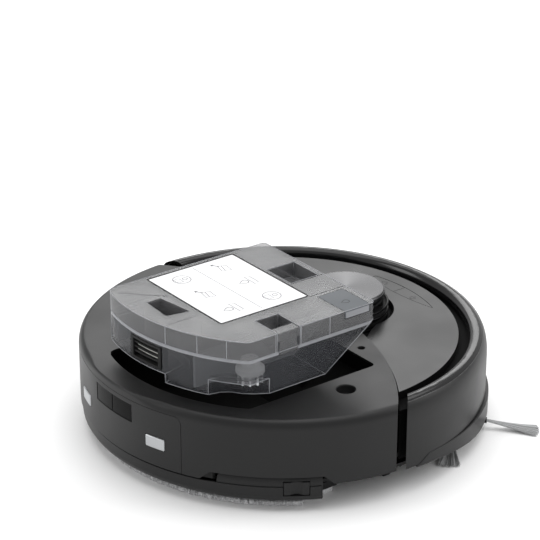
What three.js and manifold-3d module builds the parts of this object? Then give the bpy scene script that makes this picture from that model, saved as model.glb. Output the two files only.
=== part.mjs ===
// Robot vacuum and mop: round body with a lidar turret, a sprung front bumper, a lift-out dust bin
// with a water tank, a rear mop pad, two sprung drive wheels, a caster, a main roller and a side brush.
//
// Frame: millimetres, +Z up, origin on the floor under the body's centre. The robot drives towards -Y,
// its right side is -X, and its charging contacts face +Y.
import * as THREE from "three";
import { mergeVertices } from "three/addons/utils/BufferGeometryUtils.js";
import Module from "manifold-3d";

const wasm = await Module();
wasm.setup();

// ---------------------------------------------------------------- driving dimensions

const BODY_R = 170; // outer radius of the body
const WALL = 2.2; // casing thickness
const GAP = 0.4; // gap between neighbouring fixed pieces
const STEP_DEG = 6; // arc step of the large round walls

const PAN_Z = 13; // underside of the chassis pan
const PAN_T = 3; // pan thickness
const PAN_R = 145; // radius where the pan's flat floor ends and its cone starts
const RIM_R = 167.4; // chassis rim, under the shell
const SHELL_Z = 24; // lower edge of the shell wall
const TOP_Z = 80; // top of the shell
const SHOULDER_NARROW = [1.6, 2.6]; // width and height of the top edge's rounding over the panel
const SHOULDER_BROAD = [6.8, 8.6]; // and everywhere else
const SHOULDER_TURN = [7.5, 18.5]; // bearings between which it changes

const SEAM_Y = 200.6; // centre of the arc where the shell meets the front cover
const SEAM_R = 249.6; // radius of that arc
const FRONT_WALL_R = 161; // fixed wall behind the bumper
const DECK_Z = 70.5; // deck under the front cover
const COVER_R = 146; // front cover
const COVER_Z = 77.5;

const BUMPER_IN_R = 154; // inner edge of the bumper's top ring
const BUMPER_Z = 22.5; // lower edge of the bumper
const BUMPER_TOP = 81.8;
const BUMPER_GAP = 7.3; // between shell and bumper along the seam

const LIDAR_Y = -67;
const LIDAR_WELL_R = 40;
const CAP_R = 33;
const CAP_Z = 97;

const PANEL_DEG = 25.1; // half width of the charging panel
const PANEL_TOP = 73;

const MOP_ARC_DEG = 63.5; // half angle of the mop plate's rim
const MOP_FRONT_Y = 48;
const MOP_SIDE_X = 134;
const CLIP_X = [96, 150]; // the mop plate's side shoulders, across the body
const CLIP_TOP = 30.5;

const BIN_LIFT = 56; // height of the bin above its seat
const BIN_R = 149.2; // rear arc of the bin
const BIN_RIGHT = -101.5;
const BIN_LEFT = 45.5;
const BIN_FRONT = -14.7;
const BIN_Z = 31; // bin's underside when seated
const LID_Z = 64; // joint between tub and lid when seated
const BIN_WALL = 1.7;
const BAY_GAP = 0.8; // bay wall to bin
const SLOPE_LOW = [35, 31]; // bin's front slope, as y, z
const SLOPE_HIGH = [-12, 64];
const INLET_X = [-46, 24]; // dust inlet through the slope

const WHEEL_X = 128;
const WHEEL_R = 34;
const WHEEL_W = 20;
const PIVOT = [44, 44]; // suspension pivot, y and z

const CASTER_Y = -124;
const CASTER_R = 13;
const CASTER_TRAIL = 6;

const ROLLER_Y = -18;
const ROLLER_Z = 22;
const ROLLER_R = 20;
const ROLLER_HALF = 80;

const BRUSH_X = -108;
const BRUSH_Y = -98;
const BRUSH_REACH = 71;

const DIMPLE = { x: -120.8, y: 29.8, r: 7.7, floor: 72 }; // round dimple in the shell's top
const PIN_HOLE = { x: -71.5, y: -25.9, r: 3.1, floor: 73 };
const CONTACT = { from: 13.6, to: 20, z0: 39.4, z1: 49.6 }; // bearings and heights
const IR_WINDOW = { to: 8.4, z0: 54, z1: 69 };
const RELEASE = { from: 53, to: 60, z0: 15, z1: 26.6 }; // mop release buttons

const BUTTONS = { arcR: 133.5, rearY: -120.5, bow: 4.2, x0: -44, split0: 0.6, split1: 1.4, x1: 35 };

// Pockets sunk into the lid's top, as plans.
const THUMB = [[5.6, 131], [-24, 133], [-28, 113], [5.5, 118]];
const FINGER = [[-1, -10], [-1, 18], [-34, 18], [-34, -10]];
const LATCH_WELL = [[-73, 60.5], [-73, 82.5], [-91.6, 82.5], [-91.6, 60.5]];
const LABEL = { x0: -60.5, x1: 41, y0: 22, y1: 106 };
const PLUG = { x0: -101.1, x1: -67, y0: -9, y1: 16 };
const STOPPER = { x: -86, y: 4, r: 6.4 };
const VALVE = { x: -88, y: 96 };
const HINGE_X = 46; // lid hinge along the bin's left side
const HINGE_Y = [52, 92];
const KNUCKLE_R = 2.3;
const PIN_BORE_R = 1.35;
const FILTER = { from: -0.8, to: 13.2, z0: 41.4, z1: 59.6 };
const STEP = { end: 14.7, r: 120, top: 38.5 }; // shallow rear of the tub, up to a bearing
const TANK_NOTCH = [[-74, 160], [-74, 131], [-78, 116], [-88, 108], [-101, 90], [-130, 90], [-130, 160]];

const FAN = { x: 84, y: 80, r: 29 };
const CLIFF_SPOTS = [[-58, -126], [58, -126], [-129, -58], [129, -58]];

// ---------------------------------------------------------------- materials

const paint = (color, roughness = 0.6, metalness = 0) =>
  new THREE.MeshStandardMaterial({ color, roughness, metalness });
const clearPaint = (color, opacity) =>
  new THREE.MeshStandardMaterial({ color, roughness: 0.25, opacity, transparent: true });

const charcoal = paint(0x343435, 0.62);
const blackPlastic = paint(0x141415, 0.6);
const satinGrey = paint(0x565658, 0.35);
const glossBlack = paint(0x0b0b0c, 0.12);
const darkMetal = paint(0x3c3c3e, 0.35, 0.7);
const silver = paint(0xc4c6c8, 0.3, 0.9);
const rubber = paint(0x1c1c1d, 0.85);
const smoky = clearPaint(0x6d7075, 0.55);
const milky = clearPaint(0xe6e8ea, 0.7);
const plugGrey = paint(0x4d5256, 0.6);
const labelWhite = paint(0xf2f2f3, 0.7);
const bristle = paint(0xb9bbbd, 0.9);
const microfibre = paint(0xc8c9cb, 0.95);
const filterWhite = paint(0xe4e4e0, 0.9);
const boardGreen = paint(0x1e4a30, 0.5);
const cellBlue = paint(0x25406e, 0.5);
const motorGrey = paint(0x8a8c90, 0.4, 0.6);

// ---------------------------------------------------------------- solids

function solid(geometry) {
  const bare = geometry.clone();
  bare.deleteAttribute("normal");
  bare.deleteAttribute("uv");
  const merged = mergeVertices(bare, 1e-4);
  return new wasm.Manifold(
    new wasm.Mesh({
      numProp: 3,
      vertProperties: merged.attributes.position.array,
      triVerts: new Uint32Array(merged.index.array),
    }),
  );
}

function toGeometry(manifold) {
  const mesh = manifold.getMesh();
  const geometry = new THREE.BufferGeometry();
  geometry.setAttribute("position", new THREE.BufferAttribute(mesh.vertProperties, 3));
  geometry.setIndex(new THREE.BufferAttribute(mesh.triVerts, 1));
  const flat = geometry.toNonIndexed();
  flat.computeVertexNormals();
  return flat;
}

const mesh = (name, shape, material) => {
  const node = new THREE.Mesh(shape.isBufferGeometry ? shape : toGeometry(shape), material);
  node.name = name;
  return node;
};

const join = (...parts) => parts.reduce((whole, part) => whole.add(part));
const cut = (body, ...tools) => tools.reduce((left, tool) => left.subtract(tool), body);

// Direction of a bearing, in degrees from the rear (+Y) towards the robot's right (-X).
const bearing = (deg) => {
  const a = THREE.MathUtils.degToRad(deg);
  return [-Math.sin(a), Math.cos(a)];
};
const polar = (r, deg) => bearing(deg).map((v) => v * r);

// A range mirrored to one side, with its ends in order.
const sided = (side, [a, b]) => (side < 0 ? [-b, -a] : [a, b]);

const outline = (points) => new THREE.Shape(points.map(([x, y]) => new THREE.Vector2(x, y)));

// Plans are drawn anticlockwise before they are extruded.
const anticlockwise = (plan) =>
  THREE.ShapeUtils.isClockWise(plan.map(([x, y]) => new THREE.Vector2(x, y))) ? [...plan].reverse() : plan;

// An upright solid over a plan outline.
function prism(shape, z0, z1, curveSegments = 12) {
  const plan = Array.isArray(shape) ? outline(shape) : shape;
  const settings = { depth: z1 - z0, bevelEnabled: false, curveSegments };
  return solid(new THREE.ExtrudeGeometry(plan, settings).translate(0, 0, z0));
}

// A solid along X over an outline given as y, z.
function barX(points, x0, x1) {
  const settings = { depth: x1 - x0, bevelEnabled: false };
  const bar = new THREE.ExtrudeGeometry(outline(points), settings);
  const axes = new THREE.Matrix4().set(0, 0, 1, x0, 1, 0, 0, 0, 0, 1, 0, 0, 0, 0, 0, 1);
  return solid(bar.applyMatrix4(axes));
}

function block(x0, x1, y0, y1, z0, z1) {
  const box = new THREE.BoxGeometry(x1 - x0, y1 - y0, z1 - z0);
  return solid(box.translate((x0 + x1) / 2, (y0 + y1) / 2, (z0 + z1) / 2));
}

function drum(x, y, r, z0, z1, segments = 20) {
  const cylinder = new THREE.CylinderGeometry(r, r, z1 - z0, segments).rotateX(Math.PI / 2);
  return solid(cylinder.translate(x, y, (z0 + z1) / 2));
}

function drumX(y, z, r, x0, x1, segments = 20) {
  const cylinder = new THREE.CylinderGeometry(r, r, x1 - x0, segments).rotateZ(Math.PI / 2);
  return solid(cylinder.translate((x0 + x1) / 2, y, z));
}

function drumY(x, z, r, y0, y1, segments = 12) {
  const cylinder = new THREE.CylinderGeometry(r, r, y1 - y0, segments);
  return solid(cylinder.translate(x, (y0 + y1) / 2, z));
}

// A solid of revolution about the body's axis, from a profile of r, z running anticlockwise.
function turned(profile, segments = 360 / STEP_DEG) {
  const points = profile.map(([r, z]) => new THREE.Vector2(r, z));
  return solid(new THREE.LatheGeometry(points, segments).rotateX(Math.PI / 2));
}

const closed = (profile) => [...profile, profile[0]];

// A solid about the body's axis whose profile changes with the bearing. Profiles start and end on the axis.
function shaped(profileAt) {
  const turns = 360 / STEP_DEG;
  const corners = [];
  const faces = [];
  const rows = profileAt(0).length;
  for (let i = 0; i < turns; i += 1) {
    for (const [r, z] of profileAt(i * STEP_DEG)) corners.push(...polar(r, i * STEP_DEG), z);
    const here = i * rows;
    const next = ((i + 1) % turns) * rows;
    for (let k = 0; k < rows - 1; k += 1) {
      if (k > 0) faces.push(here + k, next + k, here + k + 1);
      if (k < rows - 2) faces.push(next + k, next + k + 1, here + k + 1);
    }
  }
  const geometry = new THREE.BufferGeometry();
  geometry.setAttribute("position", new THREE.BufferAttribute(new Float32Array(corners), 3));
  geometry.setIndex(faces);
  return solid(geometry);
}

// A curved strip of the round wall between two bearings. low and high give its edges at a bearing.
function band(fromDeg, toDeg, rIn, rOut, low, high, stepDeg = STEP_DEG) {
  const count = Math.max(1, Math.ceil((toDeg - fromDeg) / stepDeg));
  const bearings = Array.from({ length: count + 1 }, (_, i) => fromDeg + ((toDeg - fromDeg) * i) / count);
  return bandAt(bearings, rIn, rOut, low, high);
}

function bandAt(bearings, rIn, rOut, low, high) {
  const at = (edge, deg) => (typeof edge === "function" ? edge(deg) : edge);
  const corners = [];
  for (const deg of bearings) {
    const [z0, z1] = [at(low, deg), at(high, deg)];
    for (const [r, z] of [[rIn, z0], [rOut, z0], [rOut, z1], [rIn, z1]]) corners.push(...polar(r, deg), z);
  }
  const faces = [0, 1, 2, 0, 2, 3];
  const last = (bearings.length - 1) * 4;
  faces.push(last, last + 2, last + 1, last, last + 3, last + 2);
  for (let i = 0; i < last; i += 4) {
    for (let side = 0; side < 4; side += 1) {
      const a = i + side;
      const b = i + ((side + 1) % 4);
      faces.push(a, a + 4, b, b, a + 4, b + 4);
    }
  }
  const geometry = new THREE.BufferGeometry();
  geometry.setAttribute("position", new THREE.BufferAttribute(new Float32Array(corners), 3));
  geometry.setIndex(faces);
  return solid(geometry);
}

// Everything behind the seam arc, grown outwards by a margin.
const behindSeam = (margin, z0, z1) => prism(circle(0, SEAM_Y, SEAM_R + margin), z0, z1, 72);

function circle(x, y, r) {
  const shape = new THREE.Shape();
  shape.absarc(x, y, r, 0, 2 * Math.PI);
  return shape;
}

// Quarter-round points from one end to the other about a centre, in any r, z or x, y plane.
function rounding(cx, cy, r, fromDeg, toDeg, steps) {
  return Array.from({ length: steps + 1 }, (_, i) => {
    const a = THREE.MathUtils.degToRad(fromDeg + ((toDeg - fromDeg) * i) / steps);
    return [cx + r * Math.cos(a), cy + r * Math.sin(a)];
  });
}

// ---------------------------------------------------------------- bin and bay outlines

// Plan of the dust bin, grown outwards by a margin, with its rear side on the arc.
function binPlan(margin) {
  const [left, right] = [BIN_LEFT + margin, BIN_RIGHT - margin];
  const front = BIN_FRONT - margin;
  const arcR = BIN_R + margin;
  const start = THREE.MathUtils.radToDeg(Math.acos(left / arcR));
  const end = THREE.MathUtils.radToDeg(Math.acos(right / arcR));
  return [...rounding(0, 0, arcR, start, end, 16), [right, front], [left, front]];
}

// The space in front of the bin's slope, with its face moved forwards by a margin.
function frontOfSlope(margin) {
  const [y0, z0] = SLOPE_LOW;
  const [y1, z1] = SLOPE_HIGH;
  const length = Math.hypot(y1 - y0, z1 - z0);
  const [uy, uz] = [(y1 - y0) / length, (z1 - z0) / length];
  const [my, mz] = [-uz * margin, uy * margin];
  const foot = [y0 - 60 * uy + my, z0 - 60 * uz + mz];
  const head = [y0 + (length + 3) * uy + my, z0 + (length + 3) * uz + mz];
  return barX([foot, head, [head[0] - 60, head[1]], [foot[0] - 160, foot[1]]].reverse(), -160, 160);
}

const slopeAngle = Math.atan2(SLOPE_HIGH[1] - SLOPE_LOW[1], SLOPE_LOW[0] - SLOPE_HIGH[0]);

// A slab along the inlet, square to the slope. deep and shallow are distances in front of the slope.
function inletSlab(x0, x1, halfHeight, deep, shallow) {
  const middle = [(SLOPE_LOW[0] + SLOPE_HIGH[0]) / 2 - 4, (SLOPE_LOW[1] + SLOPE_HIGH[1]) / 2 + 3];
  const along = [-Math.cos(slopeAngle), Math.sin(slopeAngle)];
  const out = [-Math.sin(slopeAngle), -Math.cos(slopeAngle)];
  const at = (s, d) => [middle[0] + along[0] * s + out[0] * d, middle[1] + along[1] * s + out[1] * d];
  const shallowSide = [at(halfHeight, shallow), at(-halfHeight, shallow)];
  const deepSide = [at(-halfHeight, deep), at(halfHeight, deep)];
  return barX([...deepSide, ...shallowSide], x0, x1);
}

// ---------------------------------------------------------------- casings

// Room in the chassis rim for one side shoulder of the mop plate.
function mopNotch(side) {
  const [x0, x1] = sided(side, CLIP_X);
  const reach = block(x0 - 3, x1 + 3, 60, 200, 0, CLIP_TOP + 0.9);
  return cut(reach, drum(0, 0, 156.4, -1, 60, 60));
}

function lowerChassis() {
  const pan = turned([
    [0, PAN_Z], [PAN_R, PAN_Z], [RIM_R, SHELL_Z + 0.4], [RIM_R, SHELL_Z + 8], [RIM_R - WALL, SHELL_Z + 8],
    [RIM_R - WALL, SHELL_Z + 1.6], [PAN_R - 1, PAN_Z + PAN_T], [0, PAN_Z + PAN_T],
  ]);
  const frontTrim = cut(
    prism(circle(0, 0, 200), SHELL_Z - 8, SHELL_Z + 20, 12),
    behindSeam(-0.5, 0, 100),
    drum(0, 0, FRONT_WALL_R - 0.4, 0, 100, 60),
  );
  const wells = [-1, 1].map((side) => {
    const [x0, x1] = sided(side, [104.6, 141.4]);
    return block(x0, x1, -37.5, 57, 0, 40);
  });
  const mouth = block(-ROLLER_HALF - 9, ROLLER_HALF + 9, ROLLER_Y - 26, ROLLER_Y + 26, 0, 40);
  const casterCup = cut(
    drum(0, CASTER_Y, 24, PAN_Z + 0.5, 35, 24),
    drum(0, CASTER_Y, 22, 0, 32.5, 24),
    drum(0, CASTER_Y, 4.8, 30, 40, 12),
  );
  const brushBoss = drum(BRUSH_X, BRUSH_Y, 14.5, 12, 24, 20);
  const cliffPockets = CLIFF_SPOTS.map(([x, y]) => block(x - 8.4, x + 8.4, y - 4.4, y + 4.4, 0, 40));
  return join(
    cut(
      join(pan, brushBoss),
      frontTrim, ...wells, mouth, ...cliffPockets,
      mopNotch(-1), mopNotch(1),
      drum(0, CASTER_Y, 22, 0, 30, 24),
      drum(BRUSH_X, BRUSH_Y, 3.8, 0, 40, 12),
    ),
    casterCup,
    ...[-1, 1].map((side) => drum(side * 88, -100, 4, PAN_Z + 1, DECK_Z - WALL - 0.6, 10)),
  );
}

function shellProfile(deg) {
  const broad = THREE.MathUtils.smoothstep(Math.min(deg, 360 - deg), ...SHOULDER_TURN);
  const blend = (i) => THREE.MathUtils.lerp(SHOULDER_NARROW[i], SHOULDER_BROAD[i], broad);
  const [width, height] = [0, 1].map(blend);
  const edge = rounding(0, 0, 1, 0, 90, 4).map(([u, v]) => [
    BODY_R - width + width * u, TOP_Z - height + height * v,
  ]);
  const inner = BODY_R - WALL;
  return [
    [0, TOP_Z - WALL],
    [inner - width, TOP_Z - WALL],
    [inner, TOP_Z - WALL - 0.8 * height],
    [inner, SHELL_Z],
    [BODY_R, SHELL_Z],
    ...edge,
    [0, TOP_Z],
  ];
}

function rearShell() {
  const skin = shaped(shellProfile).intersect(behindSeam(0, 0, 100));
  const cups = [DIMPLE, PIN_HOLE].map(({ x, y, r, floor }) => drum(x, y, r + 1.7, floor - 2, TOP_Z - 1, 20));
  const holes = [DIMPLE, PIN_HOLE].map(({ x, y, r, floor }) => drum(x, y, r, floor, 90, 20));
  const mopEdge = (deg) => {
    const a = Math.abs(deg);
    const ramp = (from, to) => THREE.MathUtils.clamp((a - from) / (to - from), 0, 1);
    return SHELL_Z - 1 + (CLIP_TOP + 2 - SHELL_Z) * Math.min(ramp(29.4, 34), ramp(67.5, 63.6));
  };
  const mopCut = [-1, 1].map((side) => {
    const stops = [29, 31.5, 34, 40, 46, 52, 58, 63.6, 66, 68].map((deg) => deg * side);
    return bandAt(side < 0 ? stops.reverse() : stops, 160, 180, 10, mopEdge);
  });
  const hingeNotch = block(BIN_LEFT, BIN_LEFT + 5, HINGE_Y[0] - 2, HINGE_Y[1] + 2, 60, 90);
  return cut(
    join(skin, ...cups),
    prism(binPlan(BAY_GAP), 60, 90),
    hingeNotch,
    drum(0, LIDAR_Y, LIDAR_WELL_R + 1, 60, 90, 40),
    ...holes,
    band(-PANEL_DEG - 0.2, PANEL_DEG + 0.2, 160, 180, 10, (deg) => panelTop(deg, 0.25), 1.6),
    ...mopCut,
  );
}

// Upper edge of the charging panel, with rounded corners.
function panelTop(deg, margin) {
  const corner = 5;
  const fromEnd = THREE.MathUtils.degToRad(PANEL_DEG - Math.abs(deg)) * BODY_R;
  const inside = THREE.MathUtils.clamp(corner - fromEnd, 0, corner);
  return PANEL_TOP + margin - (corner - Math.sqrt(corner * corner - inside * inside));
}

function chargePanel() {
  const plate = band(
    -PANEL_DEG, PANEL_DEG, BODY_R - WALL, BODY_R, SHELL_Z + 0.2, (deg) => panelTop(deg, -0.2), 1.6);
  const contactHoles = [-1, 1].map((side) => contactBand(side, 164, 180, 0.3));
  return cut(plate, ...contactHoles, windowBand(164, 180, 0.3));
}

function contactBand(side, rIn, rOut, margin) {
  const marginDeg = THREE.MathUtils.radToDeg(margin / BODY_R);
  const [from, to] = sided(side, [CONTACT.from, CONTACT.to]);
  return band(from - marginDeg, to + marginDeg, rIn, rOut, CONTACT.z0 - margin, CONTACT.z1 + margin, 3.3);
}

function windowBand(rIn, rOut, margin) {
  const marginDeg = THREE.MathUtils.radToDeg(margin / BODY_R);
  const end = IR_WINDOW.to + marginDeg;
  return band(-end, end, rIn, rOut, IR_WINDOW.z0 - margin, IR_WINDOW.z1 + margin);
}

function bayLiner() {
  const wall = prism(binPlan(BAY_GAP + 1.5), BIN_Z - 2, TOP_Z - WALL - GAP);
  const outer = cut(wall, frontOfSlope(BAY_GAP + 1.5));
  const inner = cut(prism(binPlan(BAY_GAP), BIN_Z - 0.5, 90), frontOfSlope(BAY_GAP));
  const hingeNotch = block(BIN_LEFT, BIN_LEFT + 9, HINGE_Y[0] - 2, HINGE_Y[1] + 2, 58, 90);
  const airOutlet = band(-7, 12, 140, 160, 42, 58);
  return cut(outer, inner, hingeNotch, airOutlet, inletSlab(...INLET_X, 9, 8, -8));
}

function frontDeck() {
  const profile = [
    [0, DECK_Z - WALL], [FRONT_WALL_R - WALL, DECK_Z - WALL], [FRONT_WALL_R - WALL, SHELL_Z + 3.5],
    [FRONT_WALL_R, SHELL_Z + 3.5], [FRONT_WALL_R, DECK_Z], [0, DECK_Z],
  ];
  return cut(
    turned(profile),
    behindSeam(1.2, 0, 100),
    drum(0, LIDAR_Y, LIDAR_WELL_R - 1, 50, 90, 24),
    buttonWell(1.2),
  );
}

// Plan of the two-button strip between two x positions: an arc in front, a shallower curve behind.
function buttonPlan(x0, x1, margin) {
  const arcR = BUTTONS.arcR + margin;
  const rear = (x) => BUTTONS.rearY - BUTTONS.bow * ((x - 1) / 40) ** 2 + margin;
  const front = (x) => -Math.sqrt(arcR * arcR - x * x);
  const steps = 6;
  const xs = Array.from({ length: steps + 1 }, (_, i) => x0 + ((x1 - x0) * i) / steps);
  return [...xs.map((x) => [x, front(x)]), ...[...xs].reverse().map((x) => [x, rear(x)])];
}

const buttonWell = (margin) => prism(buttonPlan(BUTTONS.x0 - margin, BUTTONS.x1 + margin, margin), 60, 90);

function frontCover() {
  const plan = (r, margin, z0, z1) => cut(drum(0, 0, r, z0, z1, 60), behindSeam(margin, 0, 100));
  const flarePlan = (side) => [[side * 30, -90], [side * 60, -38], [side * 20, -38]];
  const flare = (side) => prism(anticlockwise(flarePlan(side)), 60, 90);
  const outer = plan(COVER_R, 1.2, DECK_Z + GAP, COVER_Z);
  const hollow = plan(COVER_R - 2.4, 3.6, DECK_Z, COVER_Z - 2.2);
  const wellR = LIDAR_WELL_R + 1;
  const ribs = [
    drum(0, LIDAR_Y, wellR + 2, DECK_Z + GAP, COVER_Z - 1, 40),
    prism(buttonPlan(BUTTONS.x0 - 2.4, BUTTONS.x1 + 2.4, 2.4), DECK_Z + GAP, COVER_Z - 1),
  ];
  const filled = join(cut(outer, hollow), ...ribs.map((rib) => rib.intersect(outer)));
  return cut(filled, drum(0, LIDAR_Y, wellR, 60, 90, 40), buttonWell(0.4), flare(-1), flare(1));
}

function button(x0, x1) {
  return prism(buttonPlan(x0, x1, 0), DECK_Z - 1, COVER_Z - 0.1);
}

// ---------------------------------------------------------------- bumper

const skirtTop = (deg) => {
  const a = Math.abs(deg);
  return 22.6 + 6.8 * THREE.MathUtils.smoothstep(a, 91, 96.4);
};
const skirtBottom = (deg) => 20.4 - 7.9 * THREE.MathUtils.smoothstep(Math.abs(deg), 91.5, 124);
const FRONT_BEARINGS = [91.6, 93, 94.5, 96, 98, ...Array.from({ length: 20 }, (_, i) => 102 + i * 4)];
const fullFront = [...FRONT_BEARINGS, ...FRONT_BEARINGS.slice(0, -1).reverse().map((deg) => 360 - deg)];
const fold = (edge) => (deg) => edge(deg > 180 ? 360 - deg : deg);

function bumper() {
  const inner = BODY_R - WALL;
  const crown = [[BODY_R, 64], [169.3, 72], [167.3, 77.8], [165.8, 79.5], [161, BUMPER_TOP]];
  const lip = [[156.8, 80.7], [BUMPER_IN_R, 76], [BUMPER_IN_R, 73.8]];
  const back = [[155.8, 73.8], [157.4, 78.4], [163, 78.8], [166, 75], [inner, 64]];
  const profile = closed([[inner, BUMPER_Z], [BODY_R, BUMPER_Z], ...crown, ...lip, ...back]);
  const skirtRoom = bandAt(fullFront, 160, 180, 5, (deg) => fold(skirtTop)(deg) + 0.3);
  return cut(turned(profile), behindSeam(BUMPER_GAP, 0, 100), skirtRoom);
}

function bumperSkirt() {
  return bandAt(fullFront, BODY_R - 3.6, BODY_R + 0.7, fold(skirtBottom), fold(skirtTop));
}

// ---------------------------------------------------------------- lidar turret

function lidarBase() {
  const cup = cut(drum(0, LIDAR_Y, 38.4, 58, 72, 24), drum(0, LIDAR_Y, 36, 61, 80, 24));
  return join(cup, drum(0, LIDAR_Y, 11, 60, 71, 20));
}

function lidarHead() {
  const head = drum(0, LIDAR_Y, 24, 72, 88.8, 24);
  const face = block(-14, 14, LIDAR_Y - 30, LIDAR_Y - 19, 76, 86);
  return cut(head, face);
}

function lidarGuard() {
  const disc = (r, z0, z1) => drum(0, LIDAR_Y, r, z0, z1, 24);
  const ring = (r0, r1, z0, z1) => cut(disc(r1, z0, z1), disc(r0, z0 - 1, z1 + 1));
  const posts = [45, 135, 225, 315].map((deg) => {
    const [x, y] = rounding(0, LIDAR_Y, 29.5, deg, deg, 1)[0];
    return drum(x, y, 2.6, 73, 89, 8);
  });
  return join(ring(26, 35.4, 72.4, 75), ...posts, ring(26.4, 35.4, 80, 82), ring(26.4, 31.5, 87.6, 89.6));
}

function lidarCap() {
  const underside = [[0, 91], [31.5, 91], [CAP_R, 92]];
  const top = [[CAP_R, CAP_Z - 1.6], [CAP_R - 1.6, CAP_Z], [4, CAP_Z], [0, CAP_Z - 0.6]];
  return turned([...underside, ...top], 36).translate([0, LIDAR_Y, 0]);
}

// ---------------------------------------------------------------- suction, brushes and drives

const archPoints = (r) => rounding(ROLLER_Y, ROLLER_Z, r, 0, 180, 8);

function rollerChamber() {
  const [front, rear] = [ROLLER_Y - 25.4, ROLLER_Y + 25.4];
  const foot = PAN_Z + PAN_T + GAP;
  const shell = barX([[rear, foot], ...archPoints(25.4), [front, foot]], -91, 91);
  const room = barX([[ROLLER_Y + 23, 0], ...archPoints(23), [ROLLER_Y - 23, 0]], -88.8, 88.8);
  const drivePlate = block(83, 89.4, ROLLER_Y - 9, ROLLER_Y + 9, ROLLER_Z - 5, ROLLER_Z + 22);
  const driveBore = drumX(ROLLER_Y, ROLLER_Z, 3.9, 80, 88, 12);
  const port = inletSlab(INLET_X[0] + 2, INLET_X[1] - 2, 7.5, 40, -8);
  return join(cut(shell, room, port), cut(drivePlate, driveBore));
}

function suctionDuct() {
  const tube = inletSlab(INLET_X[0] - 2, INLET_X[1] + 2, 11, 30, -8);
  const bore = inletSlab(INLET_X[0], INLET_X[1], 9, 32, -10);
  const chamber = drumX(ROLLER_Y, ROLLER_Z, 25.4 + GAP, -92, 92, 36);
  const bay = cut(block(-160, 160, -60, 160, 0, 100), frontOfSlope(BAY_GAP + 1.5 + GAP));
  const below = block(-160, 160, -60, 40, -20, ROLLER_Z + 12);
  return cut(tube, bore, chamber, bay, below);
}

function rollerBrush() {
  const core = drumX(ROLLER_Y, ROLLER_Z, 11, -ROLLER_HALF, ROLLER_HALF, 12);
  const shaft = drumX(ROLLER_Y, ROLLER_Z, 3.5, -ROLLER_HALF - 6, ROLLER_HALF + 6, 12);
  const fins = Array.from({ length: 6 }, (_, i) => {
    const fin = new THREE.BoxGeometry(2 * ROLLER_HALF - 4, 2.4, ROLLER_R - 9);
    fin.translate(0, 0, 9 + (ROLLER_R - 9) / 2).rotateX((i * Math.PI) / 3 + Math.PI / 6);
    return solid(fin.translate(0, ROLLER_Y, ROLLER_Z));
  });
  return join(core, shaft, ...fins);
}

function brushBearing() {
  const plate = block(-88.4, -82.6, ROLLER_Y - 9, ROLLER_Y + 9, ROLLER_Z - 9, ROLLER_Z + 9);
  return cut(plate, drumX(ROLLER_Y, ROLLER_Z, 3.9, -100, 100, 12));
}

function brushGuard() {
  const [y0, y1] = [ROLLER_Y - 22.4, ROLLER_Y + 22.4];
  const plate = block(-87.8, 87.8, y0, y1, 9.4, 12.6);
  const openings = [-68, -34, 0, 34, 68].map((x) => block(x - 15.4, x + 15.4, y0 + 3.5, y1 - 3.5, 5, 20));
  const sweep = drumX(ROLLER_Y, ROLLER_Z, ROLLER_R + 0.9, -ROLLER_HALF - 1, ROLLER_HALF + 1, 24);
  const rails = [block(-87.8, 87.8, y0, y0 + 3, 6.2, 11), block(-87.8, 87.8, y1 - 3, y1, 6.2, 11)];
  return cut(join(plate, ...rails), ...openings, sweep);
}

function sideBrushHub() {
  const boss = drum(BRUSH_X, BRUSH_Y, 10, 4.6, 11, 24);
  const shaft = drum(BRUSH_X, BRUSH_Y, 3, 10, 27, 12);
  const arms = [0, 1, 2, 3].map((i) => {
    const arm = new THREE.BoxGeometry(26, 7, 4).translate(16, 0, 7.2);
    return solid(arm.rotateZ(Math.PI / 4 + (i * Math.PI) / 2).translate(BRUSH_X, BRUSH_Y, 0));
  });
  return join(boss, shaft, ...arms);
}

// A flat tuft, narrow at its root and wide at its tip, in the frame of the hub with +X outwards.
function tuftGeometry() {
  const [root, tip] = [29.4, BRUSH_REACH];
  const section = (x, half, z0, z1) => [[x, -half, z0], [x, half, z0], [x, half, z1], [x, -half, z1]];
  const middle = section((root + tip) / 2, 5, 2.4, 5);
  const corners = [section(root, 3, 5.4, 9), middle, section(tip, 9.5, 0.8, 2.2)];
  const faces = [0, 3, 2, 0, 2, 1, 8, 9, 10, 8, 10, 11];
  for (const i of [0, 4]) {
    for (let side = 0; side < 4; side += 1) {
      const a = i + side;
      const b = i + ((side + 1) % 4);
      faces.push(a, b, a + 4, b, b + 4, a + 4);
    }
  }
  const geometry = new THREE.BufferGeometry();
  geometry.setAttribute("position", new THREE.BufferAttribute(new Float32Array(corners.flat(2)), 3));
  geometry.setIndex(faces);
  const flat = geometry.toNonIndexed();
  flat.computeVertexNormals();
  return flat;
}

function wheelArm() {
  const [py, pz] = PIVOT;
  const pivotEnd = rounding(py, pz, 9, -60, 120, 5);
  const wheelEnd = rounding(0, WHEEL_R, 17, 180, 270, 4);
  const plan = [...pivotEnd, [10, 56], [-14, 54], ...wheelEnd, [22, 19]];
  const body = barX(plan, 106, 115.6);
  const pivotPin = drumX(py, pz, 3, 104.6, 118, 12);
  return cut(join(body, pivotPin), drumX(0, WHEEL_R, 4.4, 90, 140, 16));
}

function wheelHub() {
  const half = WHEEL_W / 2 - 1;
  const disc = drumX(0, 0, 25.8, -half, half, 24);
  const dish = drumX(0, 0, 21, half - 4, half + 4, 18);
  const boss = drumX(0, 0, 7, -half, half - 1, 12);
  const axle = drumX(0, 0, 4, -half - 12, 0, 12);
  return join(cut(disc, dish), boss, axle);
}

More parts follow.
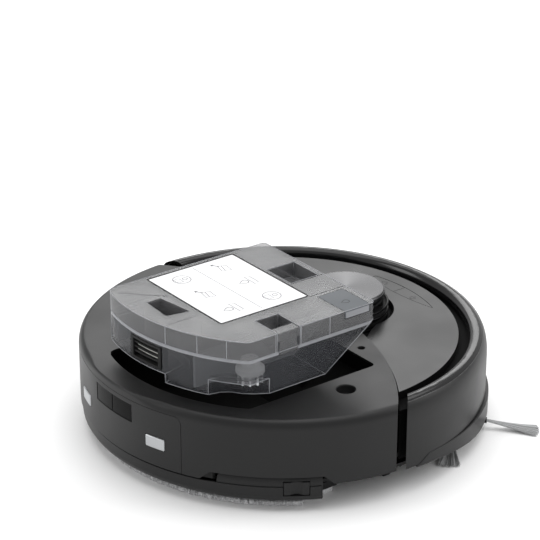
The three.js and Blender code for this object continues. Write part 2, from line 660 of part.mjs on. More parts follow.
function tyre() {
  const half = WHEEL_W / 2;
  const ring = cut(drumX(0, 0, WHEEL_R - 2, -half, half, 36), drumX(0, 0, 26.3, -20, 20, 24));
  const lugs = Array.from({ length: 12 }, (_, i) => {
    const lug = new THREE.BoxGeometry(WHEEL_W, 7, 8).translate(0, 0, WHEEL_R - 4);
    return solid(lug.rotateX((i * Math.PI) / 6));
  });
  return join(ring, ...lugs).intersect(drumX(0, 0, WHEEL_R, -half, half, 36));
}

function caster() {
  const wheelY = CASTER_Y + CASTER_TRAIL;
  const plate = drum(0, CASTER_Y, 18, 27.5, 31.6, 20);
  const stem = drum(0, CASTER_Y, 4, 31, 42, 12);
  const cheeks = [-1, 1].map((side) => {
    const [x0, x1] = sided(side, [9, 12]);
    const outlineYZ = [[wheelY + 6, 28], [wheelY - 12, 28], ...rounding(wheelY, CASTER_R, 6, 200, 340, 4)];
    return barX(outlineYZ, x0, x1);
  });
  const bore = drumX(wheelY, CASTER_R, 2.3, -20, 20, 12);
  return cut(join(plate, stem, ...cheeks), bore);
}

function casterWheel() {
  const wheelY = CASTER_Y + CASTER_TRAIL;
  const roll = join(
    drumX(wheelY, CASTER_R, CASTER_R, -6.4, 6.4, 20),
    drumX(wheelY, CASTER_R, CASTER_R - 1.4, -8, 8, 20),
  );
  return join(roll, drumX(wheelY, CASTER_R, 2, -11.8, 11.8, 12));
}

// ---------------------------------------------------------------- mop

function mopPlan(arcR, margin) {
  const side = MOP_SIDE_X - margin;
  const front = MOP_FRONT_Y + margin;
  const start = THREE.MathUtils.radToDeg(Math.acos(side / arcR));
  return [...rounding(0, 0, arcR, start, 180 - start, 18), [-side, front], [side, front]];
}

function mopPlate() {
  const profile = [
    [0, 6.2], [157, 6.2], [165, 9], [168.6, 13.5], [168.6, 22.2], [166.6, 22.2], [166.6, 14.4],
    [163.6, 12.5], [0, 12.5],
  ];
  const sector = prism([[0, 0], ...sectorArc(MOP_ARC_DEG, 190)], 0, 60);
  const sideCut = prism([
    [-MOP_SIDE_X, MOP_FRONT_Y], [MOP_SIDE_X, MOP_FRONT_Y], [152, 80], [190, 120],
    [190, 200], [-190, 200], [-190, 120], [-152, 80],
  ], 0, 60);
  const frontPart = block(-MOP_SIDE_X, MOP_SIDE_X, 40, 90, 0, 12.5);
  const dish = turned(profile).intersect(sideCut).intersect(join(sector, frontPart));
  const shoulderRing = turned(closed([
    [158, 11], [167.4, 11], [166.8, CLIP_TOP - 1.5], [164, CLIP_TOP], [158, CLIP_TOP],
  ]));
  const shoulders = [-1, 1].map((side) => {
    const [x0, x1] = sided(side, CLIP_X);
    return shoulderRing.intersect(block(x0, x1, 40, 190, 0, 60)).intersect(sector);
  });
  const buttonRoom = [-1, 1].map((side) => releaseBand(side, 158, 180, 0.4));
  return cut(join(dish, ...shoulders), ...buttonRoom);
}

const sectorArc = (half, r) =>
  [half, half - 30, half - 60, -half + 60, -half + 30, -half].map((deg) => polar(r, -deg));

function releaseBand(side, rIn, rOut, margin) {
  const marginDeg = THREE.MathUtils.radToDeg(margin / BODY_R);
  const [from, to] = sided(side, [RELEASE.from, RELEASE.to]);
  return band(from - marginDeg, to + marginDeg, rIn, rOut, RELEASE.z0 - margin, RELEASE.z1 + margin, 3.6);
}

function mopPad() {
  return prism(mopPlan(155.6, 1.5), 0, 5.8);
}

// ---------------------------------------------------------------- dust bin

function tankNotch(margin) {
  const grown = TANK_NOTCH.map(([x, y]) => [x + margin, y - margin]);
  return prism(grown.reverse(), 0, 44 + margin);
}

// Room under the shallow rear of the tub, below the filter.
function filterStep(margin) {
  const end = STEP.end + THREE.MathUtils.radToDeg(margin / BIN_R);
  const r = STEP.r - margin;
  const plan = [polar(190, STEP.end - 55), polar(r, STEP.end - 45), polar(r, end), polar(190, end)];
  return prism(anticlockwise(plan), 0, STEP.top + margin);
}

function binTub() {
  const z1 = LID_Z - 0.2;
  const outside = cut(prism(binPlan(0), BIN_Z, z1), frontOfSlope(0), tankNotch(0), filterStep(0));
  const room = prism(binPlan(-BIN_WALL), BIN_Z + 1.8, 90);
  const inside = cut(room, frontOfSlope(-BIN_WALL), tankNotch(BIN_WALL), filterStep(BIN_WALL));
  const tankWall = cut(
    block(-62, -60.6, -20, 150, BIN_Z + 1, z1 - 3).intersect(prism(binPlan(-1), 0, 100)),
    frontOfSlope(-1),
  );
  const grilleRoom = band(FILTER.from - 0.3, FILTER.to + 0.3, 130, 160, FILTER.z0 - GAP, FILTER.z1 + GAP);
  const valveRoom = drum(VALVE.x, VALVE.y, 6.4, 30, 60, 16);
  const latchNotch = block(BIN_RIGHT - 1, BIN_RIGHT + 3, 62.4, 80.6, z1 - 3.6, z1 + 5);
  const [hingeFront, hingeRear] = HINGE_Y;
  const knuckleRoom = block(
    BIN_LEFT - 3, BIN_LEFT + 5, hingeFront + 12.6, hingeRear - 12.6, LID_Z - 3.4, LID_Z + 5);
  const knuckles = [[hingeFront, hingeFront + 12.4], [hingeRear - 12.4, hingeRear]].map(([y0, y1]) =>
    hingeKnuckle(y0, y1, LID_Z - 5, LID_Z - 1));
  return cut(
    join(cut(outside, inside), tankWall.intersect(outside), ...knuckles),
    latchNotch, grilleRoom, valveRoom, knuckleRoom,
    inletSlab(INLET_X[0] + 3, INLET_X[1] - 3, 7, 12, -12),
    drumY(HINGE_X, LID_Z, PIN_BORE_R, 0, 150),
  );
}

// One barrel of the lid hinge with the tab that carries it.
function hingeKnuckle(y0, y1, tabZ0, tabZ1) {
  const tab = block(BIN_LEFT - 1.4, HINGE_X + 1.6, y0, y1, tabZ0, tabZ1);
  return join(drumY(HINGE_X, LID_Z, KNUCKLE_R, y0, y1), tab);
}

// The same plan grown about its middle.
function grow(plan, margin) {
  const cx = plan.reduce((sum, p) => sum + p[0], 0) / plan.length;
  const cy = plan.reduce((sum, p) => sum + p[1], 0) / plan.length;
  return plan.map(([x, y]) => [x + Math.sign(x - cx) * margin, y + Math.sign(y - cy) * margin]);
}

function binLid() {
  const z0 = LID_Z + 0.2;
  const outside = cut(prism(binPlan(0), z0, TOP_Z), frontOfSlope(0));
  const skin = cut(outside, prism(binPlan(-BIN_WALL), z0 - 1, TOP_Z - 2));
  const pockets = [THUMB, FINGER, LATCH_WELL].map(anticlockwise);
  const walls = pockets.map((plan) => prism(grow(plan, 1.3), z0 + 1.2, TOP_Z - 0.5));
  const rooms = pockets.map((plan) => prism(plan, z0 + 2.6, TOP_Z + 5));
  const latchGap = block(-110, -91, 60.5, 82.5, z0 - 5, TOP_Z + 5);
  const latchCheek = block(BIN_RIGHT + 0.2, -90.2, 59, 84, z0, TOP_Z - 1);
  const plugSeat = block(PLUG.x0 - 5, PLUG.x1 + 0.4, PLUG.y0 - 0.4, PLUG.y1 + 0.4, TOP_Z - 1.6, TOP_Z + 5);
  const plugSide = block(-110, PLUG.x0 + 2.4, PLUG.y0 - 0.4, PLUG.y1 + 0.4, TOP_Z - 7, TOP_Z + 5);
  const plugBack = block(BIN_RIGHT + 0.3, PLUG.x0 + 4.6, PLUG.y0 - 2, PLUG.y1 + 2, TOP_Z - 8.5, TOP_Z - 1);
  const fillHole = drum(STOPPER.x, STOPPER.y, STOPPER.r + 0.8, 60, 90, 14);
  const { x0, x1, y0, y1 } = LABEL;
  const labelSeat = block(x0 - 0.5, x1 + 0.5, y0 - 0.5, y1 + 0.5, TOP_Z - 0.8, TOP_Z + 1);
  const knuckle = [HINGE_Y[0] + 13, HINGE_Y[1] - 13];
  const tubKnuckles = [[HINGE_Y[0] - 0.6, knuckle[0] - 0.4], [knuckle[1] + 0.4, HINGE_Y[1] + 0.6]];
  const barrelRoom = ([front, rear]) => drumY(HINGE_X, LID_Z, KNUCKLE_R + 0.5, front, rear);
  const barrelRooms = tubKnuckles.map(barrelRoom);
  const solidLid = join(skin, ...walls, latchCheek, plugBack);
  const openLid = cut(solidLid, ...rooms, latchGap, plugSeat, plugSide, fillHole, ...barrelRooms, labelSeat);
  const hinged = join(openLid, hingeKnuckle(...knuckle, LID_Z + 1, LID_Z + 5));
  return cut(hinged, drumY(HINGE_X, LID_Z, PIN_BORE_R, 0, 150));
}

function lidLatch() {
  const bar = block(BIN_RIGHT + 0.4, -92.2, 61, 82, TOP_Z - 7.5, TOP_Z - 0.6);
  const leg = block(BIN_RIGHT + 0.4, BIN_RIGHT + 1.9, 63, 80, LID_Z - 3.2, TOP_Z - 2);
  return join(bar, leg);
}

function tankPlug() {
  const { x0, x1, y0, y1 } = PLUG;
  const tab = block(x0, x1, y0, y1, TOP_Z - 1.3, TOP_Z);
  const lip = block(BIN_RIGHT + 0.2, x0 + 1.9, y0, y1, TOP_Z - 6.4, TOP_Z);
  const stopper = drum(STOPPER.x, STOPPER.y, STOPPER.r, TOP_Z - 6, TOP_Z - 1, 14);
  return join(tab, lip, stopper);
}

function filterFrame() {
  const rOut = BIN_R - 0.5;
  const { from, to, z0, z1 } = FILTER;
  const frame = band(from, to, rOut - 9, rOut, z0, z1);
  const opening = band(from + 1.5, to - 1.5, rOut - 20, rOut + 10, z0 + 2, z1 - 2);
  const slat = (z) => band(from + 0.9, to - 0.9, rOut - 2.6, rOut - 0.8, z, z + 1.1);
  const slats = [46.6, 50.2, 53.8].map(slat);
  return join(cut(frame, opening), ...slats);
}

function filterMedia() {
  return band(FILTER.from + 1.8, FILTER.to - 1.8, BIN_R - 8.8, BIN_R - 3.6, FILTER.z0 + 2.4, FILTER.z1 - 2.4);
}

function waterValve() {
  const stem = [[0, 36], [3, 36], [3, 41], [5.8, 41], [5.8, 46.2]];
  const cap = [[9.6, 46.2], [9.6, 50], [7, 52], [7, 58], [5.5, 60], [0, 60]];
  return turned([...stem, ...cap], 14).translate([VALVE.x, VALVE.y, 0]);
}

function inletFlap() {
  return inletSlab(INLET_X[0] + 4.5, INLET_X[1] - 4.5, 8.4, -2.4, -3.8);
}

// ---------------------------------------------------------------- suction fan, power and electronics

function fanHousing() {
  const { x, y, r } = FAN;
  const casing = cut(drum(x, y, r, 20, 56), drum(x, y, r - 2.2, 22.2, 53.8));
  const eye = drum(x, y, 12, 50, 60, 24);
  const outlet = block(x - 4, x + 16, y + r - 8, y + r + 10, 30, 46);
  const motor = join(drum(x, y, 14, 22, 39, 24), drum(x, y, 1.5, 38, 48, 10));
  return join(cut(casing, eye, outlet), motor);
}

function fanImpeller() {
  const { x, y, r } = FAN;
  const plate = drum(x, y, r - 5, 42, 44, 18);
  const hub = drum(x, y, 6, 40, 51, 14);
  const blades = Array.from({ length: 7 }, (_, i) => {
    const blade = new THREE.BoxGeometry(17, 1.4, 7).translate(14, 0, 46.5);
    return solid(blade.rotateZ((i * 2 * Math.PI) / 7).translate(x, y, 0));
  });
  return cut(join(plate, hub, ...blades), drum(x, y, 1.8, 38, 49, 10));
}

// Curved duct behind the bay, from the filter to the fan's eye side.
function exhaustDuct() {
  const outer = band(-26, 13, 152.6, 165, 40, 60);
  const inner = band(-24.6, 11.6, 154.2, 163.4, 41.8, 58.2);
  const mouth = band(-7, 11.4, 150, 160, 42, 58);
  const exit = band(-24.6, -15, 150, 160, 42, 58);
  return cut(outer, inner, mouth, exit);
}

// ---------------------------------------------------------------- assembly

const robot = new THREE.Group();
const place = (parent, ...nodes) => parent.add(...nodes);
const mainBoard = block(-80, 80, -138, -54, 50, 51.6).intersect(drum(0, 0, 150, 40, 60, 48));

place(
  robot,
  mesh("lower_chassis", lowerChassis(), blackPlastic),
  mesh("rear_shell", rearShell(), charcoal),
  mesh("bay_liner", bayLiner(), blackPlastic),
  mesh("front_deck", frontDeck(), blackPlastic),
  mesh("front_cover", frontCover(), satinGrey),
  mesh("charge_panel", chargePanel(), charcoal),
  mesh("charge_contact_right", contactBand(1, BODY_R - 2, BODY_R + 0.9, 0), silver),
  mesh("charge_contact_left", contactBand(-1, BODY_R - 2, BODY_R + 0.9, 0), silver),
  mesh("ir_window", windowBand(BODY_R - 2, BODY_R - 0.3, 0), glossBlack),
  mesh("power_button", button(BUTTONS.x0, BUTTONS.split0), satinGrey),
  mesh("home_button", button(BUTTONS.split1, BUTTONS.x1), satinGrey),
  mesh("bumper", bumper(), glossBlack),
  mesh("bumper_skirt", bumperSkirt(), charcoal),
  mesh("lidar_base", lidarBase(), blackPlastic),
  mesh("lidar_head", lidarHead(), glossBlack),
  mesh("lidar_guard", lidarGuard(), glossBlack),
  mesh("lidar_cap", lidarCap(), darkMetal),
);

place(
  robot,
  mesh("roller_chamber", rollerChamber(), blackPlastic),
  mesh("suction_duct", suctionDuct(), blackPlastic),
  mesh("roller_brush", rollerBrush(), rubber),
  mesh("brush_bearing", brushBearing(), blackPlastic),
  mesh("brush_guard", brushGuard(), charcoal),
  mesh("roller_motor", drumX(ROLLER_Y - 44, 30, 12, 72, 100), motorGrey),
  mesh("battery_pack", block(-66, 66, -98, -58, PAN_Z + PAN_T + GAP, 38), cellBlue),
  mesh("main_board", mainBoard, boardGreen),
  mesh("fan_housing", fanHousing(), blackPlastic),
  mesh("fan_impeller", fanImpeller(), blackPlastic),
  mesh("exhaust_duct", exhaustDuct(), blackPlastic),
);

CLIFF_SPOTS.forEach(([x, y], i) => {
  const window = block(x - 8, x + 8, y - 4, y + 4, PAN_Z + 0.2, PAN_Z + PAN_T - 0.2);
  place(robot, mesh(`cliff_sensor_${i + 1}`, window, glossBlack));
});

for (const [side, label] of [[-1, "right"], [1, "left"]]) {
  const mirror = new THREE.Matrix4().makeScale(side, 1, 1);
  const mirrored = (shape) => shape.transform([...mirror.elements]);
  const wheel = new THREE.Group();
  wheel.position.set(side * WHEEL_X, 0, WHEEL_R);
  place(
    wheel,
    mesh(`wheel_hub_${label}`, mirrored(wheelHub()), charcoal),
    mesh(`tyre_${label}`, mirrored(tyre()), rubber),
  );
  place(
    robot,
    mesh(`wheel_arm_${label}`, mirrored(wheelArm()), blackPlastic),
    wheel,
  );
}

place(robot, mesh("caster_fork", caster(), charcoal), mesh("caster_wheel", casterWheel(), rubber));
place(
  robot,
  mesh("side_brush_motor", drum(BRUSH_X, BRUSH_Y, 12, 28, 48, 24), motorGrey),
  mesh("side_brush_hub", sideBrushHub(), rubber),
);

for (let i = 0; i < 4; i += 1) {
  const tuft = mesh(`side_brush_tuft_${i + 1}`, tuftGeometry(), bristle);
  tuft.position.set(BRUSH_X, BRUSH_Y, 0);
  tuft.rotation.z = Math.PI / 4 + (i * Math.PI) / 2;
  place(robot, tuft);
}

place(
  robot,
  mesh("mop_plate", mopPlate(), charcoal),
  mesh("mop_pad", mopPad(), microfibre),
  mesh("mop_release_right", releaseBand(1, BODY_R - 10, BODY_R - 1.6, 0), charcoal),
  mesh("mop_release_left", releaseBand(-1, BODY_R - 10, BODY_R - 1.6, 0), charcoal),
);

const bin = new THREE.Group();
bin.position.z = BIN_LIFT;
const { x0, x1, y0, y1 } = LABEL;
place(
  bin,
  mesh("bin_tub", binTub(), smoky),
  mesh("bin_lid", binLid(), smoky),
  mesh("lid_latch", lidLatch(), smoky),
  mesh("lid_hinge_pin", drumY(HINGE_X, LID_Z, 1, HINGE_Y[0] + 0.4, HINGE_Y[1] - 0.4, 12), silver),
  mesh("tank_plug", tankPlug(), plugGrey),
  mesh("label_sheet", block(x0, x1, y0, y1, TOP_Z - 0.5, TOP_Z - 0.1), labelWhite),
  mesh("filter_frame", filterFrame(), blackPlastic),
  mesh("filter_media", filterMedia(), filterWhite),
  mesh("water_valve", waterValve(), milky),
  mesh("inlet_flap", inletFlap(), plugGrey),
);
place(robot, bin);

export default robot;
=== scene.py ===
"""Robot vacuum with its dust bin lifted out. Lengths in the tables are millimetres, in the CAD frame."""

import math
import random

import bmesh
import bpy
from mathutils import Matrix, Vector


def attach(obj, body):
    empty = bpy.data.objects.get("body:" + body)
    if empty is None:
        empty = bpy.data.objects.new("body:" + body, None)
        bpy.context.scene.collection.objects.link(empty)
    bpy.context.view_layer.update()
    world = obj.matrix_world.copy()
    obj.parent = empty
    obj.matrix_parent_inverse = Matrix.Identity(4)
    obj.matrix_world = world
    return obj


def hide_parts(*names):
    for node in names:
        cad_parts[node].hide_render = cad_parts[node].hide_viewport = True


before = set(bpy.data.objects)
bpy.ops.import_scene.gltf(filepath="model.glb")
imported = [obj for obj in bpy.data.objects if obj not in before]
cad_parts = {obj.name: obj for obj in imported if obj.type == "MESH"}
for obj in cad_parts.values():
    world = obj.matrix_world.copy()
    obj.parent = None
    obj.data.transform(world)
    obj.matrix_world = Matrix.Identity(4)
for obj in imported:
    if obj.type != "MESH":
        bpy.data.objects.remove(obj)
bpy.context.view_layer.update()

random.seed(7)

MM = 0.001
BODY_R = 170.0
TOP_Z = 80.0
SHELL_Z = 24.0
WALL = 2.2
SEAM_Y = 200.6
SEAM_R = 249.6
LIDAR = (0.0, -67.0)
DIMPLE = (-120.8, 29.8)
SMALL_HOLE = (-71.5, -25.9)
PANEL_DEG = 25.1
PANEL_TOP = 73.0
BIN_LIFT = 56.0
BIN_R = 149.2
BIN_RIGHT, BIN_LEFT, BIN_FRONT = -101.5, 45.5, -14.7
BIN_Z, LID_Z = 31.0, 64.0
SLOPE = ((35.0, 31.0), (-12.0, 64.0))
BRUSH_HUB = (-108.0, -98.0)
FINE = 240  # segments round the body

# Bumper: section of the satin crown and of the glossy lip, as radius and height.
BUMPER_GAP = 7.3
CROWN = [(170, 62), (169.8, 68), (169.3, 72), (168.4, 75.4), (167.3, 77.8), (166.2, 79.4)]
LIP = [(165.9, 79.3), (165.6, 79.6), (164.2, 80.6), (162.5, 81.3), (160.5, 81.7), (158.5, 81.5),
       (156.8, 80.7), (155.3, 79.2), (154.4, 77.2), (154, 74.8), (154, 73.6)]
LIP_R = 165.8  # the glossy lip lies inside this radius
LIP_Z = 72

# Bin: bearings in degrees, plans as x and y, and the pockets and seams of its lid.
VENT = (-0.8, 13.2)
STEP_END = 14.7  # bearing where the shallow rear of the tub meets its deep right part
VALVE = (-87, 98)
LATCH_Y = (60.5, 82.5)
PLUG_Y = (-9, 16)
STOPPER = (-86, 4)
LABEL = (-60.5, 41.0, 22.0, 106.0)
THUMB = [(5.6, 131), (-24, 133), (-28, 113), (5.5, 118)]
FINGER = [(-1, 18), (-34, 18), (-34, -10), (-1, -10)]
LATCH_WELL = [(-73, LATCH_Y[1]), (-91.6, LATCH_Y[1]), (-91.6, LATCH_Y[0]), (-73, LATCH_Y[0])]
SEAMS = [((-38, 113), (-38, 141)), ((-63, 21), (-63, -13)), ((-35, 18.5), (-35, -13)), ((6, 112), (34, 139))]

# Mop and side brush
CLIP_TOP = 30.5
RELEASE = (53.0, 60.0)  # bearings of a release button's ends
FRINGE = 420  # loops round the pad
ARMS = 4
STRANDS = 130  # bristles in a tuft
FLOOR = 3000


# ---------------------------------------------------------------- mesh helpers

def new_object(name, verts, faces):
    """A mesh object from points in millimetres, with its faces turned outwards."""
    mesh = bpy.data.meshes.new(name)
    mesh.from_pydata([[c * MM for c in v] for v in verts], [], faces)
    work = bmesh.new()
    work.from_mesh(mesh)
    bmesh.ops.remove_doubles(work, verts=work.verts, dist=1e-6)
    bmesh.ops.recalc_face_normals(work, faces=work.faces)
    work.to_mesh(mesh)
    work.free()
    obj = bpy.data.objects.new(name, mesh)
    bpy.context.scene.collection.objects.link(obj)
    return obj


def discard(obj):
    mesh = obj.data
    bpy.data.objects.remove(obj)
    bpy.data.meshes.remove(mesh)


def bake(obj):
    """Applies every modifier of an object."""
    graph = bpy.context.evaluated_depsgraph_get()
    graph.update()
    result = bpy.data.meshes.new_from_object(obj.evaluated_get(graph))
    obj.modifiers.clear()
    old = obj.data
    obj.data = result
    result.name = obj.name
    bpy.data.meshes.remove(old)
    return obj


def boolean(obj, tools, operation):
    for tool in tools:
        step = obj.modifiers.new("cut", "BOOLEAN")
        step.operation = operation
        step.object = tool
        step.solver = "MANIFOLD"
    bake(obj)
    for tool in tools:
        discard(tool)
    return obj


def cut(obj, *tools):
    return boolean(obj, tools, "DIFFERENCE")


def join(obj, *tools):
    return boolean(obj, tools, "UNION")


def common(obj, *tools):
    return boolean(obj, tools, "INTERSECT")


def soften(obj, width=0.35, angle=35.0, segments=2, smooth=40.0):
    """Rounds the sharp edges by width millimetres and shades the rest smooth."""
    work = bmesh.new()
    work.from_mesh(obj.data)
    bmesh.ops.remove_doubles(work, verts=work.verts, dist=2e-5)
    bmesh.ops.dissolve_degenerate(work, dist=1e-5, edges=work.edges)
    bmesh.ops.dissolve_limit(work, angle_limit=math.radians(0.4), verts=work.verts, edges=work.edges)
    work.to_mesh(obj.data)
    work.free()
    if width:
        bevel = obj.modifiers.new("edge", "BEVEL")
        bevel.width = width * MM
        bevel.segments = segments
        bevel.limit_method = "ANGLE"
        bevel.angle_limit = math.radians(angle)
        bevel.use_clamp_overlap = True
        bake(obj)
    return shade(obj, smooth)


def shade(obj, angle=40.0):
    """Smooth shading between sharp edges, with large faces kept flat."""
    work = bmesh.new()
    work.from_mesh(obj.data)
    bmesh.ops.dissolve_limit(work, angle_limit=math.radians(0.4), verts=work.verts, edges=work.edges)
    work.to_mesh(obj.data)
    work.free()
    obj.data.shade_smooth()
    obj.data.set_sharp_from_angle(angle=math.radians(angle))
    weighted = obj.modifiers.new("normals", "WEIGHTED_NORMAL")
    weighted.keep_sharp = True
    weighted.weight = 100
    return bake(obj)


def arc(cx, cy, r, start, end, steps):
    """Points on an arc, in degrees, both ends included."""
    angles = [math.radians(start + (end - start) * i / steps) for i in range(steps + 1)]
    return [(cx + r * math.cos(a), cy + r * math.sin(a)) for a in angles]


def polar(r, bearing):
    """A point at a bearing in degrees, from the rear (+Y) towards the robot's right (-X)."""
    a = math.radians(bearing)
    return (-r * math.sin(a), r * math.cos(a))


def prism(points, z0, z1, name="prism"):
    n = len(points)
    verts = [(x, y, z0) for x, y in points] + [(x, y, z1) for x, y in points]
    faces = [list(range(n))[::-1], [n + i for i in range(n)]]
    faces += [[i, (i + 1) % n, n + (i + 1) % n, n + i] for i in range(n)]
    return new_object(name, verts, faces)


def bar_x(points, x0, x1, name="bar"):
    """A prism along X over an outline given as y, z."""
    n = len(points)
    verts = [(x0, y, z) for y, z in points] + [(x1, y, z) for y, z in points]
    faces = [list(range(n)), [n + i for i in range(n)][::-1]]
    faces += [[i, (i + 1) % n, n + (i + 1) % n, n + i] for i in range(n)]
    return new_object(name, verts, faces)


def block(x0, x1, y0, y1, z0, z1, name="block"):
    return prism([(x0, y0), (x1, y0), (x1, y1), (x0, y1)], z0, z1, name)


def drum(x, y, r, z0, z1, segments=64, name="drum"):
    return prism(arc(x, y, r, 0, 360 - 360 / segments, segments - 1), z0, z1, name)


def revolve(name, profile_at, segments=FINE, centre=(0.0, 0.0), ring=False):
    """A turned solid. profile_at(bearing) gives r, z points, ending on the axis or closed as a ring."""
    verts = []
    rows = []
    for i in range(segments):
        bearing = 360.0 * i / segments
        profile = profile_at(bearing) if callable(profile_at) else profile_at
        row = []
        for r, z in profile:
            x, y = polar(r, bearing)
            row.append(len(verts))
            verts.append((x + centre[0], y + centre[1], z))
        rows.append(row)
    faces = []
    count = len(rows[0])
    spans = count if ring else count - 1
    for i in range(segments):
        here, there = rows[i], rows[(i + 1) % segments]
        for k in range(spans):
            faces.append([here[k], here[(k + 1) % count], there[(k + 1) % count], there[k]])
    mesh = bpy.data.meshes.new(name)
    mesh.from_pydata([[c * MM for c in v] for v in verts], [], faces)
    work = bmesh.new()
    work.from_mesh(mesh)
    bmesh.ops.remove_doubles(work, verts=work.verts, dist=1e-7)
    bmesh.ops.dissolve_degenerate(work, dist=1e-7, edges=work.edges)
    bmesh.ops.recalc_face_normals(work, faces=work.faces)
    work.to_mesh(mesh)
    work.free()
    obj = bpy.data.objects.new(name, mesh)
    bpy.context.scene.collection.objects.link(obj)
    return obj


def band(name, start, end, r_in, r_out, low, high, step=1.0):
    """A strip of the round wall between two bearings. low and high may be functions of the bearing."""
    count = max(2, math.ceil((end - start) / step))
    at = lambda edge, b: edge(b) if callable(edge) else edge
    verts = []
    for i in range(count + 1):
        b = start + (end - start) * i / count
        for r, z in ((r_in, at(low, b)), (r_out, at(low, b)), (r_out, at(high, b)), (r_in, at(high, b))):
            verts.append((*polar(r, b), z))
    last = 4 * count
    faces = [[3, 2, 1, 0], [last, last + 1, last + 2, last + 3]]
    for i in range(0, last, 4):
        for side in range(4):
            a, b = i + side, i + (side + 1) % 4
            faces.append([a, b, b + 4, a + 4])
    return new_object(name, verts, faces)


def behind_seam(margin, z0=0, z1=100):
    return prism(arc(0, SEAM_Y, SEAM_R + margin, 0, 359, 359), z0, z1, "seam")


def lifted(obj, height=BIN_LIFT):
    obj.data.transform(Matrix.Translation((0, 0, height * MM)))
    return obj


def smoothstep(x, low, high):
    t = min(1.0, max(0.0, (x - low) / (high - low)))
    return t * t * (3 - 2 * t)


# ---------------------------------------------------------------- materials

def material(name, color, roughness, metallic=0.0, **values):
    """A principled material. values are its sockets by name, with _ for a space."""
    mat = bpy.data.materials.new(name)
    mat.use_nodes = True
    shader = mat.node_tree.nodes["Principled BSDF"]
    shader.inputs["Base Color"].default_value = (*color, 1.0)
    shader.inputs["Roughness"].default_value = roughness
    shader.inputs["Metallic"].default_value = metallic
    for key, value in values.items():
        shader.inputs[key.replace("_", " ")].default_value = value
    return mat


def add_grain(mat, scale, strength, distance=0.05, detail=3.0, stretch=(1, 1, 1)):
    """Fine moulded texture as bump. distance is in millimetres."""
    nodes, links = mat.node_tree.nodes, mat.node_tree.links
    coords = nodes.new("ShaderNodeTexCoord")
    mapping = nodes.new("ShaderNodeMapping")
    mapping.inputs["Scale"].default_value = stretch
    noise = nodes.new("ShaderNodeTexNoise")
    noise.inputs["Scale"].default_value = scale
    noise.inputs["Detail"].default_value = detail
    bump = nodes.new("ShaderNodeBump")
    bump.inputs["Strength"].default_value = strength
    bump.inputs["Distance"].default_value = distance * MM
    links.new(coords.outputs["Object"], mapping.inputs["Vector"])
    links.new(mapping.outputs["Vector"], noise.inputs["Vector"])
    links.new(noise.outputs["Fac"], bump.inputs["Height"])
    links.new(bump.outputs["Normal"], nodes["Principled BSDF"].inputs["Normal"])
    return mat


def add_variation(mat, socket, scale, low, high):
    """Slow variation of a colour or a roughness over the surface."""
    nodes, links = mat.node_tree.nodes, mat.node_tree.links
    coords = nodes.new("ShaderNodeTexCoord")
    noise = nodes.new("ShaderNodeTexNoise")
    noise.inputs["Scale"].default_value = scale
    noise.inputs["Detail"].default_value = 4.0
    ramp = nodes.new("ShaderNodeValToRGB")
    for element, value in zip(ramp.color_ramp.elements, (low, high)):
        element.color = (*value, 1.0) if isinstance(value, tuple) else (value, value, value, 1.0)
    ramp.color_ramp.elements[0].position = 0.3
    ramp.color_ramp.elements[1].position = 0.7
    links.new(coords.outputs["Object"], noise.inputs["Vector"])
    links.new(noise.outputs["Fac"], ramp.inputs["Fac"])
    links.new(ramp.outputs["Color"], nodes["Principled BSDF"].inputs[socket])
    return mat


def moulded(name, color, roughness, grain=0.25, scale=2600, **values):
    """Moulded plastic: fine grain and a slight change of gloss across the surface."""
    mat = material(name, color, roughness, **values)
    add_grain(mat, scale, grain)
    return add_variation(mat, "Roughness", 18, roughness - 0.04, roughness + 0.05)


DIM = {"Specular_IOR_Level": 0.28}
CHARCOAL = moulded("charcoal", (0.0085, 0.0085, 0.0087), 0.4, grain=0.12, **DIM)
BLACK = moulded("black_plastic", (0.004, 0.004, 0.0042), 0.6, grain=0.3, **DIM)
BAY_BLACK = moulded("bay_black", (0.0012, 0.0012, 0.0013), 0.75, grain=0.3, Specular_IOR_Level=0.1)
COVER_GREY = moulded("cover_grey", (0.006, 0.006, 0.0062), 0.3, grain=0.02, scale=3400,
                     Specular_IOR_Level=0.3)
GLOSS_BLACK = material("gloss_black", (0.0012, 0.0012, 0.0013), 0.1, Specular_IOR_Level=0.06)
RING_GLOSS = moulded("ring_gloss", (0.005, 0.005, 0.0052), 0.16, grain=0.02, Specular_IOR_Level=0.4)
CONTACT = add_grain(material("contact_metal", (0.42, 0.43, 0.44), 0.3, 0.95), 900, 0.12, stretch=(1, 1, 8))
RUBBER = moulded("soft_rubber", (0.008, 0.008, 0.0085), 0.75, grain=0.5, scale=1500, **DIM)
TYRE = moulded("tyre_rubber", (0.007, 0.007, 0.0075), 0.82, grain=0.6, scale=1200, **DIM)
PLUG = moulded("plug_silicone", (0.055, 0.063, 0.072), 0.5, grain=0.2)
MILKY = moulded("milky_plastic", (0.88, 0.89, 0.91), 0.35, grain=0.03)
PAPER = moulded("label_paper", (0.70, 0.70, 0.71), 0.5, grain=0.04, scale=900)
INK = material("label_ink", (0.07, 0.07, 0.08), 0.6)
FILTER = add_grain(material("filter_paper", (0.72, 0.72, 0.68), 0.9), 700, 0.6)
BOARD = moulded("circuit_board", (0.015, 0.075, 0.03), 0.4, grain=0.2)
WRAP = moulded("battery_wrap", (0.02, 0.045, 0.14), 0.3, grain=0.1)
MOTOR = add_grain(material("motor_metal", (0.35, 0.35, 0.36), 0.35, 0.9), 500, 0.15, stretch=(1, 1, 10))
BRISTLES = [moulded(f"nylon_bristle_{i}", (tone, tone * 1.01, tone * 1.02), 0.45, grain=0.1, scale=900)
            for i, tone in enumerate((0.62, 0.36, 0.13))]
FIBRE = add_variation(material("microfibre", (0.5, 0.5, 0.51), 0.95, Sheen_Weight=0.5),
                      "Base Color", 500, (0.38, 0.38, 0.39), (0.80, 0.80, 0.81))
add_grain(FIBRE, 1600, 0.9, distance=0.4)


